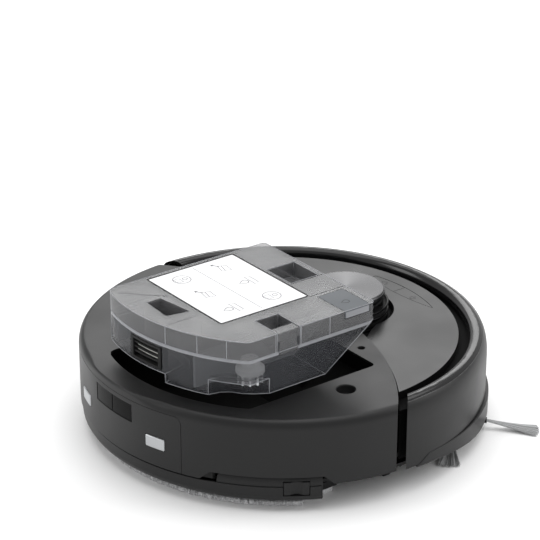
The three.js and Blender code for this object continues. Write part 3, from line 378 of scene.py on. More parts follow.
def spun_metal():
    """Dark metal with circular turning marks about the object's own axis."""
    mat = material("spun_metal", (0.06, 0.06, 0.062), 0.16, 1.0, Anisotropic=0.97)
    nodes, links = mat.node_tree.nodes, mat.node_tree.links
    around = nodes.new("ShaderNodeTangent")
    around.direction_type = "RADIAL"
    around.axis = "Z"
    links.new(around.outputs["Tangent"], nodes["Principled BSDF"].inputs["Tangent"])
    return mat


SPUN = spun_metal()


def smoky(name, color, alpha, roughness):
    """Tinted clear plastic, as a part-transparent surface."""
    mat = material(name, color, roughness, Alpha=alpha)
    return add_variation(mat, "Roughness", 24, roughness - 0.04, roughness + 0.06)


SMOKY_TUB = smoky("smoky_tub", (0.075, 0.078, 0.086), 0.36, 0.13)
SMOKY_LID = smoky("smoky_lid", (0.125, 0.126, 0.131), 0.55, 0.22)
# A lighter copy of the smoky plastic: painted highlight, for the edges, the rim and the parts seen through
# the walls.
SMOKY_HIGHLIGHT = smoky("smoky_painted_highlight", (0.48, 0.49, 0.52), 0.5, 0.2)


def paint(obj, mat):
    obj.data.materials.clear()
    obj.data.materials.append(mat)
    return obj


def add(obj, body, mat, *nodes, slot=None):
    """Names the body a piece rides on and the CAD nodes it stands for."""
    paint(obj, mat)
    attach(obj, body)
    if nodes:
        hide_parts(*nodes)
    return obj


# ---------------------------------------------------------------- body casings

def shell_profile(bearing):
    """Wall, shoulder and top. The shoulder is narrow over the charging panel and broad elsewhere."""
    turn = abs((bearing + 180) % 360 - 180)
    broad = smoothstep(turn, 7.5, 18.5)
    width = 1.6 + 5.2 * broad
    drop = 2.6 + 6.0 * broad
    shoulder = []
    for i in range(9):
        a = math.radians(11.25 * i)
        r = BODY_R - width + width * math.cos(a) ** 0.9
        z = TOP_Z - drop + drop * math.sin(a) ** 0.9
        shoulder.append((r, z))
    inner = BODY_R - WALL
    return [(0, TOP_Z - WALL), (inner - width, TOP_Z - WALL), (inner, TOP_Z - WALL - drop * 0.8),
            (inner, SHELL_Z), (BODY_R, SHELL_Z), (BODY_R, TOP_Z - drop - 6), *shoulder, (0, TOP_Z)]


def mop_edge(bearing):
    """Lower edge of the shell over the mop plate's side shoulders."""
    a = abs(bearing)
    rise = min(smoothstep(a, 29.4, 34.0), smoothstep(-a, -67.5, -63.2))
    return SHELL_Z - 1 + 8.5 * rise


def panel_top(bearing, margin, corner=5.5):
    from_end = math.radians(PANEL_DEG - abs(bearing)) * BODY_R
    inside = min(corner, max(0.0, corner - from_end))
    return PANEL_TOP + margin - (corner - math.sqrt(corner * corner - inside * inside))


def bin_plan(margin, front_radius=4.0, steps=44):
    """Plan of the bin and its bay: a rear arc, two sides and a straight front."""
    left, right, front = BIN_LEFT + margin, BIN_RIGHT - margin, BIN_FRONT - margin
    r = BIN_R + margin
    start = math.degrees(math.acos(left / r)) + 2.6
    end = math.degrees(math.acos(right / r)) - 3.0
    points = arc(0, 0, r, start, end, steps)
    rear_right = points[-1]
    points += [(right + 1.2, rear_right[1] - 4.2), (right, rear_right[1] - 7.5)]
    k = front_radius
    points += arc(right + k, front + k, k, 180, 270, 4)
    points += arc(left - k, front + k, k, 270, 360, 4)
    points += [(left, points[0][1] - 7.5), (left - 1.4, points[0][1] - 3.2)]
    return points


def rear_shell():
    shell = revolve("shell_skin", shell_profile)
    common(shell, behind_seam(0))
    cuts = [
        prism(bin_plan(0.9), 60, 90),
        block(BIN_LEFT, BIN_LEFT + 5, 50, 94, 60, 90),
        drum(*LIDAR, 41, 60, 90, 96),
        drum(*DIMPLE, 8.4, 60, 90, 48),
        drum(*SMALL_HOLE, 3.4, 60, 90, 32),
        band("panel_gap", -PANEL_DEG - 0.12, PANEL_DEG + 0.12, 160, 180, 10,
             lambda b: panel_top(b, 0.2), 0.4),
        band("mop_gap_right", 29.2, 67.7, 160, 180, 10, mop_edge, 0.7),
        band("mop_gap_left", -67.7, -29.2, 160, 180, 10, mop_edge, 0.7),
    ]
    cut(shell, *cuts)
    soften(shell, 0.45)
    add(shell, "chassis", CHARCOAL, "rear_shell", slot="charcoal_shell")


def dished_hole(name, centre, r, depth, rim):
    """A rounded cup below a hole in the shell's top."""
    top = TOP_Z - 0.05
    rounded = [(r + rim - rim * math.sin(t), top - rim + rim * math.cos(t)) for t in
               (math.radians(a) for a in range(0, 91, 15))]
    floor = top - depth
    bowl = [(r - 0.4, floor + 3), (r - 2.6, floor + 0.6), (0, floor)]
    underside = [(0, floor - 1.2), (r - 2, floor - 1.2), (r + rim - 0.6, floor + 2)]
    cup = revolve(name, [(r + rim, top - WALL - 1.5), *rounded, *bowl, *underside], 48, centre)
    soften(cup, 0)
    add(cup, "chassis", CHARCOAL, slot="charcoal_shell")


def charging_panel():
    plate = band("panel_plate", -PANEL_DEG, PANEL_DEG, BODY_R - WALL, BODY_R, SHELL_Z + 0.1,
                 lambda b: panel_top(b, -0.1), 0.4)
    cut(plate, contact_band(1, 164, 180, 0.25), contact_band(-1, 164, 180, 0.25), window_band(160, 180, 0.25))
    soften(plate, 0.3)
    add(plate, "chassis", CHARCOAL, "charge_panel", slot="charcoal_shell")
    for side, label in ((1, "right"), (-1, "left")):
        contact = contact_band(side, BODY_R - 2, BODY_R + 0.85, 0)
        rounded = contact.modifiers.new("corners", "BEVEL")
        rounded.width = 1.1 * MM
        rounded.segments = 4
        rounded.limit_method = "ANGLE"
        rounded.angle_limit = math.radians(40)
        bake(contact)
        shade(contact, 45)
        contact.name = f"contact_plate_{label}"
        add(contact, "chassis", CONTACT, f"charge_contact_{label}", slot="contact_metal")
    for label, start, end in (("right", 0.1, 8.4), ("left", -8.4, -0.1)):
        pane = band(f"ir_pane_{label}", start, end, BODY_R - 2, BODY_R - 0.35, 54, 69, 0.7)
        soften(pane, 0.35)
        nodes = ("ir_window",) if label == "right" else ()
        add(pane, "chassis", GLOSS_BLACK, *nodes, slot="gloss_black")


def contact_band(side, r_in, r_out, margin):
    extra = math.degrees(margin / BODY_R)
    start, end = sorted((side * 13.6, side * 20.0))
    return band("contact", start - extra, end + extra, r_in, r_out, 39.4 - margin, 49.6 + margin, 1.0)


def window_band(r_in, r_out, margin):
    extra = math.degrees(margin / BODY_R)
    return band("window", -8.4 - extra, 8.4 + extra, r_in, r_out, 54 - margin, 69 + margin, 0.7)


def button_plan(x0, x1, margin):
    arc_r = 133.5 + margin
    rear = lambda x: -120.5 - 4.2 * ((x - 1) / 40) ** 2 + margin
    front = lambda x: -math.sqrt(arc_r * arc_r - x * x)
    xs = [x0 + (x1 - x0) * i / 14 for i in range(15)]
    return [(x, front(x)) for x in xs] + [(x, rear(x)) for x in reversed(xs)]


def front_cover():
    plate = drum(0, 0, 146, 70.9, 77.5, FINE, "cover_plate")
    flares = [prism([(s * 26, -95), (s * 36, -76), (s * 47, -56), (s * 62, -36), (s * 20, -36)], 60, 90)
              for s in (-1, 1)]
    button_room = prism(button_plan(-44.3, 35.3, 0.3), 60, 90)
    cut(plate, behind_seam(1.2), drum(*LIDAR, 41, 60, 90, 96), button_room, *flares)
    soften(plate, 0.3)
    add(plate, "chassis", COVER_GREY, "front_cover", slot="satin_grey")
    for name, x0, x1 in (("power_button", -44.0, 0.85), ("home_button", 1.15, 35.0)):
        key = prism(button_plan(x0, x1, 0), 69.5, 77.42, name + "_cap")
        soften(key, 0.3)
        add(key, name, COVER_GREY, name, slot="satin_grey")


def flat_line(name, points, width, z, height=0.08, closed=False):
    """A thin raised line along plan points."""
    pts = [Vector(p) for p in points]
    n = len(pts)
    verts, faces = [], []
    for i, p in enumerate(pts):
        before = pts[(i - 1) % n] if closed or i else p
        after = pts[(i + 1) % n] if closed or i < n - 1 else p
        along = (after - before).normalized()
        side = Vector((-along.y, along.x)) * width / 2
        for q in (p + side, p - side):
            verts += [(q.x, q.y, z), (q.x, q.y, z + height)]
    spans = n if closed else n - 1
    for i in range(spans):
        a, b = 4 * i, 4 * ((i + 1) % n)
        faces += [[a, b, b + 2, a + 2], [a + 1, a + 3, b + 3, b + 1]]
        faces += [[a, a + 1, b + 1, b], [a + 2, b + 2, b + 3, a + 3]]
    if not closed:
        e = 4 * (n - 1)
        faces += [[0, 2, 3, 1], [e, e + 1, e + 3, e + 2]]
    return new_object(name, verts, faces)


def merge(name, objects):
    """One object from several, without joining their solids."""
    work = bmesh.new()
    for obj in objects:
        work.from_mesh(obj.data)
    for obj in objects:
        discard(obj)
    mesh = bpy.data.meshes.new(name)
    work.to_mesh(mesh)
    work.free()
    whole = bpy.data.objects.new(name, mesh)
    bpy.context.scene.collection.objects.link(whole)
    return whole


def button_icons():
    home = merge("home_icon", [
        flat_line("a", [(15.5, -125.2), (19, -128.6), (22.5, -125.2)], 0.5, 77.4),
        flat_line("b", [(16.6, -125.6), (16.6, -122.6), (21.4, -122.6), (21.4, -125.6)], 0.5, 77.4)])
    power = merge("power_icon", [
        flat_line("a", arc(-19, -125.4, 2.4, -50, 230, 16), 0.5, 77.4),
        flat_line("b", [(-19, -125.9), (-19, -128.8)], 0.5, 77.4)])
    add(home, "home_button", BLACK, slot="black_plastic")
    add(power, "power_button", BLACK, slot="black_plastic")


# ---------------------------------------------------------------- bumper

def bumper_profile():
    """A satin crown, a fine crease and a glossy rounded lip at the inner edge."""
    inside = [(155.8, 73.6), (156.4, 77.2), (159.5, 79.3), (164.0, 78.4), (166.0, 75.0), (BODY_R - WALL, 64),
              (BODY_R - WALL, 22.5)]
    return [(BODY_R, 22.5), *CROWN, *LIP, *inside]


def skirt_top(bearing):
    a = abs((bearing + 180) % 360 - 180)
    return 22.6 + 6.8 * smoothstep(a, 90.9, 96.4)


def skirt_bottom(bearing):
    a = abs((bearing + 180) % 360 - 180)
    return 20.4 - 7.9 * smoothstep(a, 91.5, 124)


def bumper():
    wall = revolve("bumper_shell", bumper_profile(), ring=True)
    skirt_room = band("skirt_gap", 91.4, 268.6, 160, 180, 5, lambda b: skirt_top(b) + 0.15, 0.8)
    cut(wall, behind_seam(BUMPER_GAP), skirt_room)
    soften(wall, 0.4)
    paint(wall, CHARCOAL)
    wall.data.materials.append(RING_GLOSS)
    for face in wall.data.polygons:
        if face.center.z > LIP_Z * MM and math.hypot(face.center.x, face.center.y) < LIP_R * MM:
            face.material_index = 1
    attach(wall, "bumper")
    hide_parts("bumper")
    skirt = band("skirt_strip", 91.3, 268.7, BODY_R - 3.6, BODY_R + 0.5, skirt_bottom, skirt_top, 0.8)
    for corner in skirt.data.vertices:
        r = math.hypot(corner.co.x, corner.co.y)
        turn = abs(math.degrees(math.atan2(-corner.co.x, corner.co.y)))
        swell = 1 + 2.2 * MM * smoothstep(turn, 98, 130) / r
        if r > (BODY_R - 1) * MM:
            corner.co.x *= swell
            corner.co.y *= swell
    soften(skirt, 0.9, segments=3)
    add(skirt, "bumper", CHARCOAL, "bumper_skirt", slot="charcoal_shell")


# ---------------------------------------------------------------- lidar turret

def lidar():
    underside = [(0, 91.1), (31.6, 91.1), (32.6, 91.6), (33, 92.6)]
    top = [(33, 95.2), (32.7, 96.2), (31.9, 96.85), (30.8, 97), (0, 97)]
    cap = revolve("lidar_cap_disc", underside + top, 96)
    cap.location = (LIDAR[0] * MM, LIDAR[1] * MM, 0)
    shade(cap)
    add(cap, "lidar_cap", SPUN, "lidar_cap", slot="spun_metal")
    rings = [revolve(f"guard_ring_{i}", [(r + 1.1 * math.cos(t), z + 1.1 * math.sin(t)) for t in
             (math.radians(45 * k) for k in range(8))], 72, LIDAR, ring=True) for i, (r, z) in
             enumerate(((35.4, 79.0), (35.4, 84.4)))]
    guard = merge("guard_bars", rings)
    guard.data.shade_smooth()
    add(guard, "chassis", GLOSS_BLACK, slot="gloss_black")


# ---------------------------------------------------------------- dust bin

def painted_edge_highlights(name, outline, thickness, angle=32.0):
    """Thin tubes along the sharp edges of a plain solid: painted highlights where clear plastic catches the
    light.
    """
    work = bmesh.new()
    work.from_mesh(outline.data)
    bmesh.ops.remove_doubles(work, verts=work.verts, dist=2e-5)
    bmesh.ops.dissolve_limit(work, angle_limit=math.radians(0.4), verts=work.verts, edges=work.edges)
    verts, faces = [], []
    for edge in work.edges:
        if len(edge.link_faces) != 2 or edge.calc_face_angle(0) < math.radians(angle):
            continue
        ends = [v.co / MM for v in edge.verts]
        along = (ends[1] - ends[0]).normalized()
        u = along.orthogonal().normalized() * thickness / 2
        v = along.cross(u)
        base = len(verts)
        for end in ends:
            verts += [end + u, end + v, end - u, end - v]
        faces += [[base + k, base + (k + 1) % 4, base + 4 + (k + 1) % 4, base + 4 + k] for k in range(4)]
        faces += [[base + 3, base + 2, base + 1, base], [base + 4, base + 5, base + 6, base + 7]]
    work.free()
    discard(outline)
    mesh = bpy.data.meshes.new(name)
    mesh.from_pydata([tuple(c * MM for c in v) for v in verts], [], faces)
    highlight_tubes = bpy.data.objects.new(name, mesh)
    bpy.context.scene.collection.objects.link(highlight_tubes)
    mesh.shade_smooth()
    return highlight_tubes


def front_of_slope(margin):
    (y0, z0), (y1, z1) = SLOPE
    length = math.hypot(y1 - y0, z1 - z0)
    uy, uz = (y1 - y0) / length, (z1 - z0) / length
    my, mz = -uz * margin, uy * margin
    foot = (y0 - 60 * uy + my, z0 - 60 * uz + mz)
    head = (y0 + (length + 3) * uy + my, z0 + (length + 3) * uz + mz)
    return bar_x([foot, head, (head[0] - 60, head[1]), (foot[0] - 160, foot[1])], -160, 160)


def tank_notch(margin):
    curve = [(-74, 131), (-77, 119), (-82, 112), (-89, 107), (-95, 100), (-101, 90)]
    plan = [(-74, 160), *curve, (-130, 90), (-130, 160)]
    return prism([(x + margin, y - margin) for x, y in plan], 0, 44 + margin)


def filter_step(margin):
    """Room under the shallow part of the tub, below the filter."""
    plan = [polar(190, -40), polar(120 - margin, -30), polar(120 - margin, STEP_END + margin * 0.6),
            polar(190, STEP_END + margin * 0.6)]
    return prism(plan, 0, 38.5 + margin)


def tub_outline():
    tub = prism(bin_plan(-0.3), BIN_Z, LID_Z - 0.3, "tub_shell")
    return cut(tub, front_of_slope(0), tank_notch(0), filter_step(0))


def bin_tub():
    tub = tub_outline()
    soften(tub, 0.9, segments=3)
    room = prism(bin_plan(-2.0), BIN_Z + 1.8, 90)
    cut(room, front_of_slope(-1.7), tank_notch(1.7), filter_step(1.7))
    vent = band("vent_room", VENT[0] - 0.4, VENT[1] + 0.4, 130, 160, 40.9, 60.1, 1.0)
    cut(tub, room, vent, block(BIN_LEFT - 3, BIN_LEFT + 5, 64.6, 79.4, LID_Z - 3.4, LID_Z + 5),
        block(BIN_RIGHT - 1, BIN_RIGHT + 3, 62.4, 80.6, LID_Z - 3.8, LID_Z + 5))
    shade(tub, 30)
    add(lifted(tub), "bin", SMOKY_TUB, "bin_tub", slot="smoky_clear")
    # Painted highlights along the tub's sharp edges.
    add(lifted(painted_edge_highlights("tub_edge_highlights", tub_outline(), 0.7)), "bin", SMOKY_HIGHLIGHT, slot="smoky_clear")
    # Real ribs, in the lighter smoky plastic that paints a highlight on them.
    ribs = [block(30 + 5 * i, 31 + 5 * i, 118, 146.5 - 1.2 * i, 40, 62, "rib") for i in range(3)]
    comb = merge("tub_ribs", ribs)
    common(comb, prism(bin_plan(-2.2), 0, 100))
    add(lifted(comb), "bin", SMOKY_HIGHLIGHT, slot="smoky_clear")


def bin_internals():
    """The tank wall, a real part, and a band round the tub's rim, both in the lighter smoky plastic that
    paints a highlight where they show through the smoky walls.
    """
    # The tank wall is a real part; its lighter colour is a painted highlight.
    wall = prism([(-62.6, -6), (-61.0, -6), (-61.0, 134), (-62.6, 134)], BIN_Z + 2, LID_Z - 2, "tank_wall")
    cut(wall, front_of_slope(-2.0))
    common(wall, prism(bin_plan(-2.4), 0, 100))
    soften(wall, 0.2)
    add(lifted(wall), "bin", SMOKY_HIGHLIGHT, slot="smoky_clear")
    outer, inner = bin_plan(-0.2), bin_plan(-1.7)
    # A band round the top of the tub wall, in the lighter smoky plastic: a painted highlight along the rim.
    rim_highlight = prism(outer, LID_Z - 2.4, LID_Z - 0.35, "rim_highlight_band")
    latch_room = block(BIN_RIGHT - 2, BIN_RIGHT + 4, 62, 81, 0, 100)
    hinge_room = block(BIN_LEFT - 4, BIN_LEFT + 5, 52, 92, 0, 100)
    cut(rim_highlight, prism(inner, 0, 100), latch_room, hinge_room, front_of_slope(0.3))
    soften(rim_highlight, 0.3)
    add(lifted(rim_highlight), "bin", SMOKY_HIGHLIGHT, slot="smoky_clear")


def grown(plan, margin):
    cx = sum(p[0] for p in plan) / len(plan)
    cy = sum(p[1] for p in plan) / len(plan)
    return [(x + math.copysign(margin, x - cx), y + math.copysign(margin, y - cy)) for x, y in plan]


def lid_painted_highlights():
    """Painted highlights along the edges of the lid and its pockets, and along the seams down its skirt."""
    outline = prism(bin_plan(-0.1), LID_Z + 0.3, TOP_Z, "lid_outline")
    latch_gap = block(-110, -91, *LATCH_Y, LID_Z - 5, TOP_Z + 5)
    cut(outline, front_of_slope(0.3), latch_gap,
        *[prism(plan, LID_Z + 2.9, TOP_Z + 5) for plan in (FINGER, LATCH_WELL)])
    highlight_tubes = painted_edge_highlights("lid_edge_highlights", outline, 0.6)
    seams = [band("seam", b - 0.12, b + 0.12, BIN_R - 0.5, BIN_R + 0.1, LID_Z + 0.6, TOP_Z - 0.4, 0.24)
             for b in (15.1, 26.5, 36.0)]
    for y in (59.5, 84, 31):
        seams.append(block(BIN_RIGHT - 0.1, BIN_RIGHT + 0.5, y - 0.3, y + 0.3, LID_Z + 0.6, TOP_Z - 0.4))
    return merge("lid_edge_highlight_lines", [highlight_tubes, *seams])


def bin_lid():
    z0 = LID_Z + 0.3
    lid = cut(prism(bin_plan(-0.1), z0, TOP_Z, "lid_shell"), front_of_slope(0))
    soften(lid, 0.9, segments=3)
    cut(lid, prism(bin_plan(-1.8), z0 - 2, TOP_Z - 2))
    walls = [prism(grown(plan, 1.3), z0 + 1.2, TOP_Z - 0.5) for plan in (THUMB, FINGER, LATCH_WELL)]
    join(lid, *walls)
    rooms = [prism(plan, z0 + 2.6, TOP_Z + 5) for plan in (THUMB, FINGER, LATCH_WELL)]
    grooves = []
    for (xa, ya), (xb, yb) in SEAMS:
        dx, dy = xb - xa, yb - ya
        length = math.hypot(dx, dy)
        nx, ny = -dy / length * 0.4, dx / length * 0.4
        grooves.append(prism([(xa + nx, ya + ny), (xb + nx, yb + ny), (xb - nx, yb - ny), (xa - nx, ya - ny)],
                             TOP_Z - 0.5, TOP_Z + 2))
    x0, x1, y0, y1 = LABEL
    cut(lid, *rooms, *grooves,
        block(-110, -91, *LATCH_Y, z0 - 5, TOP_Z + 5),
        block(-110, -66.6, -9.4, 16.4, TOP_Z - 1.6, TOP_Z + 5),
        block(-110, -98.7, -9.4, 16.4, TOP_Z - 7, TOP_Z + 5),
        drum(*STOPPER, 7.2, 60, 90),
        block(BIN_LEFT - 3, BIN_LEFT + 5, 51.4, 64.6, 60, LID_Z + 3.2),
        block(BIN_LEFT - 3, BIN_LEFT + 5, 79.4, 92.6, 60, LID_Z + 3.2),
        block(x0 - 0.6, x1 + 0.6, y0 - 0.6, y1 + 0.6, TOP_Z - 0.8, TOP_Z + 1))
    shade(lid, 30)
    add(lifted(lid), "bin_lid", SMOKY_LID, "bin_lid", slot="smoky_clear")
    # Painted highlights along the lid's edges and seams.
    add(lifted(lid_painted_highlights()), "bin_lid", SMOKY_HIGHLIGHT, slot="smoky_clear")
    floor = prism(grown(THUMB, -0.2), LID_Z + 2.95, LID_Z + 3.2, "thumb_floor")
    add(lifted(floor), "bin_lid", BLACK, slot="black_plastic")


def bin_hinge():
    """Knuckles of the lid hinge, on the tub and on the lid."""
    x = BIN_LEFT + 0.5
    def knuckle(y0, y1, up):
        barrel = prism(arc(0, 0, 2.3, 0, 348.75, 31), y0, y1, "barrel")
        barrel.data.transform(Matrix(((1, 0, 0, x * MM), (0, 0, 1, 0), (0, 1, 0, LID_Z * MM), (0, 0, 0, 1))))
        low, high = (LID_Z + 1, LID_Z + 5) if up else (LID_Z - 5, LID_Z - 1)
        tab = block(BIN_LEFT - 1.4, x + 1.6, y0, y1, low, high)
        return [barrel, tab]
    tub = merge("tub_knuckles", knuckle(52, 64.4, False) + knuckle(79.6, 92, False))
    lid = merge("lid_knuckle", knuckle(65, 79, True))
    add(lifted(soften(tub, 0.2)), "bin", SMOKY_TUB, slot="smoky_clear")
    add(lifted(soften(lid, 0.2)), "bin_lid", SMOKY_LID, slot="smoky_clear")


def label():
    x0, x1, y0, y1 = LABEL
    z = TOP_Z - 0.1
    sheet = prism(rounded_box(x0, x1, y0, y1, 1.2), TOP_Z - 0.6, z, "label_card")
    soften(sheet, 0)
    add(lifted(sheet), "bin_lid", PAPER, "label_sheet", slot="label_white")
    edge = rounded_box(x0 - 0.7, x1 + 0.7, y0 - 0.7, y1 + 0.7, 1.6)
    frame_line = flat_line("label_border", edge, 1.3, TOP_Z - 0.7, 0.85, closed=True)
    add(lifted(frame_line), "bin_lid", BLACK, slot="black_plastic")
    middle = (y0 + y1) / 2
    lines = [flat_line("m", [(x0 + 3, middle), (x1 - 3, middle)], 0.4, z, 0.03)]
    centres = [(x, y) for y in (middle + 20, middle - 20) for x in (25, -9, -43)]
    for i, (cx, cy) in enumerate(centres):
        lines += PICTOGRAMS[(i + i // 3) % 3](cx, cy, z)
    add(lifted(merge("label_pictograms", lines)), "bin_lid", INK, slot="gloss_black")


def rounded_box(x0, x1, y0, y1, r, steps=4):
    return (arc(x1 - r, y0 + r, r, -90, 0, steps) + arc(x1 - r, y1 - r, r, 0, 90, steps)
            + arc(x0 + r, y1 - r, r, 90, 180, steps) + arc(x0 + r, y0 + r, r, 180, 270, steps))


def icon_robot(x, y, z):
    """A round robot with its bin bay."""
    ring = arc(x, y, 7.5, 0, 345, 23)
    bay = [(x - 4, y + 1), (x + 3, y + 1), (x + 3, y + 6.3), (x - 4, y + 6.0)]
    return [flat_line("i", ring, 0.55, z, 0.03, closed=True), flat_line("i", bay, 0.5, z, 0.03, closed=True),
            flat_line("i", arc(x, y - 3, 2, 0, 330, 11), 0.5, z, 0.03, closed=True)]


def icon_bin(x, y, z):
    """A bin with an arrow out of it."""
    box = [(x - 8, y - 4), (x + 2, y - 5), (x + 4, y + 2), (x - 6, y + 4)]
    arrow = [(x + 3, y + 1), (x + 9, y + 5)]
    head = [(x + 6.6, y + 5.2), (x + 9, y + 5), (x + 8.4, y + 2.6)]
    brim = [(x - 6, y + 1), (x + 2.8, y - 1)]
    return [flat_line("i", box, 0.5, z, 0.03, closed=True), flat_line("i", arrow, 0.8, z, 0.03),
            flat_line("i", head, 0.8, z, 0.03), flat_line("i", brim, 0.5, z, 0.03)]


def icon_tap(x, y, z):
    """A drop over a tank."""
    drop = [(x, y + 7)] + arc(x, y + 1.5, 3, 30, -210, 14)
    tank = [(x - 8, y - 3), (x + 8, y - 3), (x + 6, y - 7.5), (x - 6, y - 7.5)]
    return [flat_line("i", drop, 0.6, z, 0.03, closed=True), flat_line("i", tank, 0.5, z, 0.03, closed=True)]


PICTOGRAMS = [icon_robot, icon_bin, icon_tap]


def latch_and_plug():
    bar = block(BIN_RIGHT + 0.3, -92.2, 61, 82, TOP_Z - 7.5, TOP_Z - 0.4, "latch_bar")
    inner = block(BIN_RIGHT + 2.2, -93.4, 62.4, 80.6, TOP_Z - 9, TOP_Z - 2.2)
    leg = block(BIN_RIGHT + 0.4, BIN_RIGHT + 1.9, 63, 80, LID_Z - 3.2, TOP_Z - 2)
    cut(bar, inner)
    join(bar, leg)
    soften(bar, 0.5, segments=3)
    add(lifted(bar), "lid_latch", SMOKY_LID, "lid_latch", slot="smoky_clear")
    tab = block(-101.0, -67, *PLUG_Y, TOP_Z - 1.3, TOP_Z, "plug_tab")
    side = block(BIN_RIGHT + 0.2, -99.2, *PLUG_Y, TOP_Z - 6.4, TOP_Z - 0.6)
    join(tab, side, drum(*STOPPER, 6.4, TOP_Z - 6, TOP_Z - 1))
    soften(tab, 0.4, segments=3)
    add(lifted(tab), "tank_plug", PLUG, "tank_plug", slot="plug_grey")
    # The plug's lip, in the lighter smoky plastic that paints a highlight on it.
    lip = block(BIN_RIGHT - 0.1, BIN_RIGHT + 0.35, -8.2, 15.2, TOP_Z - 6.2, TOP_Z - 1.2, "plug_lip")
    soften(lip, 0.15)
    add(lifted(lip), "tank_plug", SMOKY_HIGHLIGHT, slot="smoky_clear")
    drop = [(-87, 8.4)] + arc(-87, 3.4, 2.6, 35, -215, 18)
    add(lifted(flat_line("plug_drop", drop, 0.45, TOP_Z - 0.02, 0.06, closed=True)), "tank_plug", BLACK,
        slot="black_plastic")


def filter_unit():
    r = BIN_R - 0.4
    start, end = VENT
    frame_ring = band("vent_frame", start, end, r - 8, r + 0.6, 40.0, 59.6, 1.0)
    cut(frame_ring, band("vent_open", start + 1.3, end - 1.3, r - 20, r + 10, 42.4, 57.4, 1.0))
    slats = [band("slat", start + 1.1, end - 1.1, r - 4.6, r - 0.6, z, z + 1.3, 1.0)
             for z in (45.6, 49.6, 53.6)]
    vent = merge("vent_grille", [soften(frame_ring, 0.4)] + [soften(s, 0.25) for s in slats])
    add(lifted(vent), "bin", BLACK, "filter_frame", slot="black_plastic")


def valve():
    profile = [(0, 37), (5.6, 37), (6.4, 38), (6.6, 41.4), (7.6, 42), (8.2, 43), (8.2, 46.4), (10.8, 46.6),
               (11.4, 47.2), (11.4, 50.6), (10.6, 51.6), (8.2, 52.4), (7.6, 54), (7.6, 57.4), (6.8, 58.8),
               (4.6, 59.7), (0, 60)]
    x, y = VALVE
    body = revolve("valve_body", profile, 48, VALVE)
    soften(body, 0)
    ribs = []
    for i in range(10):
        rib = block(x + 7.4, x + 10.4, y - 0.6, y + 0.6, 38.6, 46.8, "rib")
        turn = Matrix.Translation((x * MM, y * MM, 0)) @ Matrix.Rotation(math.radians(36 * i), 4, "Z")
        rib.data.transform(turn @ Matrix.Translation((-x * MM, -y * MM, 0)))
        ribs.append(rib)
    whole = merge("valve_cap", [body, *ribs])
    shade(whole, 35)
    add(lifted(whole), "bin", MILKY, "water_valve", slot="milky_clear")


# ---------------------------------------------------------------- mop

def mop_wedge():
    """The sector at the rear that the mop plate's rim fills."""
    return prism([(0, 0)] + [polar(190, -63.5 + 12.7 * i) for i in range(11)], 0, 60)


def mop_plate():
    outside = [(0, 6.2), (156.8, 6.2), (164.8, 8.8), (166.9, 10.4), (168.4, 13.2), (168.6, 15.0),
               (168.6, 22.0)]
    inside = [(168.2, 22.3), (166.8, 22.3), (166.6, 14.4), (163.6, 12.5), (0, 12.5)]
    dish = revolve("mop_tray", outside + inside)
    right = [(134, 48), (152, 80), (190, 120), (190, 200)]
    left = [(-x, y) for x, y in reversed(right)]
    side = prism([left[-1], *right, *left[:-1]], 0, 60)
    keep = join(mop_wedge(), block(-134, 134, 40, 90, 0, 12.5))
    common(dish, side, keep)
    for s in (-1, 1):
        clip = [(166.9, CLIP_TOP - 2.5), (165.4, CLIP_TOP - 0.6), (163.4, CLIP_TOP), (158, CLIP_TOP)]
        shoulder = revolve("shoulder", [(158, 11), (167.4, 11), (167.6, 24), *clip], ring=True)
        x0, x1 = sorted((s * 96, s * 150))
        common(shoulder, block(x0, x1, 40, 190, 0, 60), mop_wedge())
        join(dish, shoulder)
    cut(dish, release_band(1, 158, 180, 0.3), release_band(-1, 158, 180, 0.3))
    soften(dish, 0.5)
    add(dish, "mop", CHARCOAL, "mop_plate", slot="charcoal_shell")
    for s, side_name in ((1, "right"), (-1, "left")):
        key = release_band(s, BODY_R - 10, BODY_R - 1.6, 0)
        key.name = f"release_key_{side_name}"
        dip = drum(0, 0, 9.5, -6, 6, 40, "dip")
        bearing = s * sum(RELEASE) / 2
        dx, dy = polar(BODY_R + 6.3, bearing)
        dip.data.transform(Matrix.Translation((dx * MM, dy * MM, 20.8 * MM))
                           @ Matrix.Rotation(math.radians(bearing), 4, "Z") @ Matrix.Scale(1, 4))
        cut(key, dip)
        soften(key, 0.7, segments=3)
        add(key, f"mop_release_{side_name}", CHARCOAL, f"mop_release_{side_name}", slot="charcoal_shell")


def release_band(side, r_in, r_out, margin):
    extra = math.degrees(margin / BODY_R)
    start, end = sorted(side * bearing for bearing in RELEASE)
    return band("release", start - extra, end + extra, r_in, r_out, 15 - margin, 26.6 + margin, 0.7)


def mop_outline(r, side, front, steps=90):
    start = math.degrees(math.acos(side / r))
    return arc(0, 0, r, start, 180 - start, steps) + [(-side, front), (side, front)]


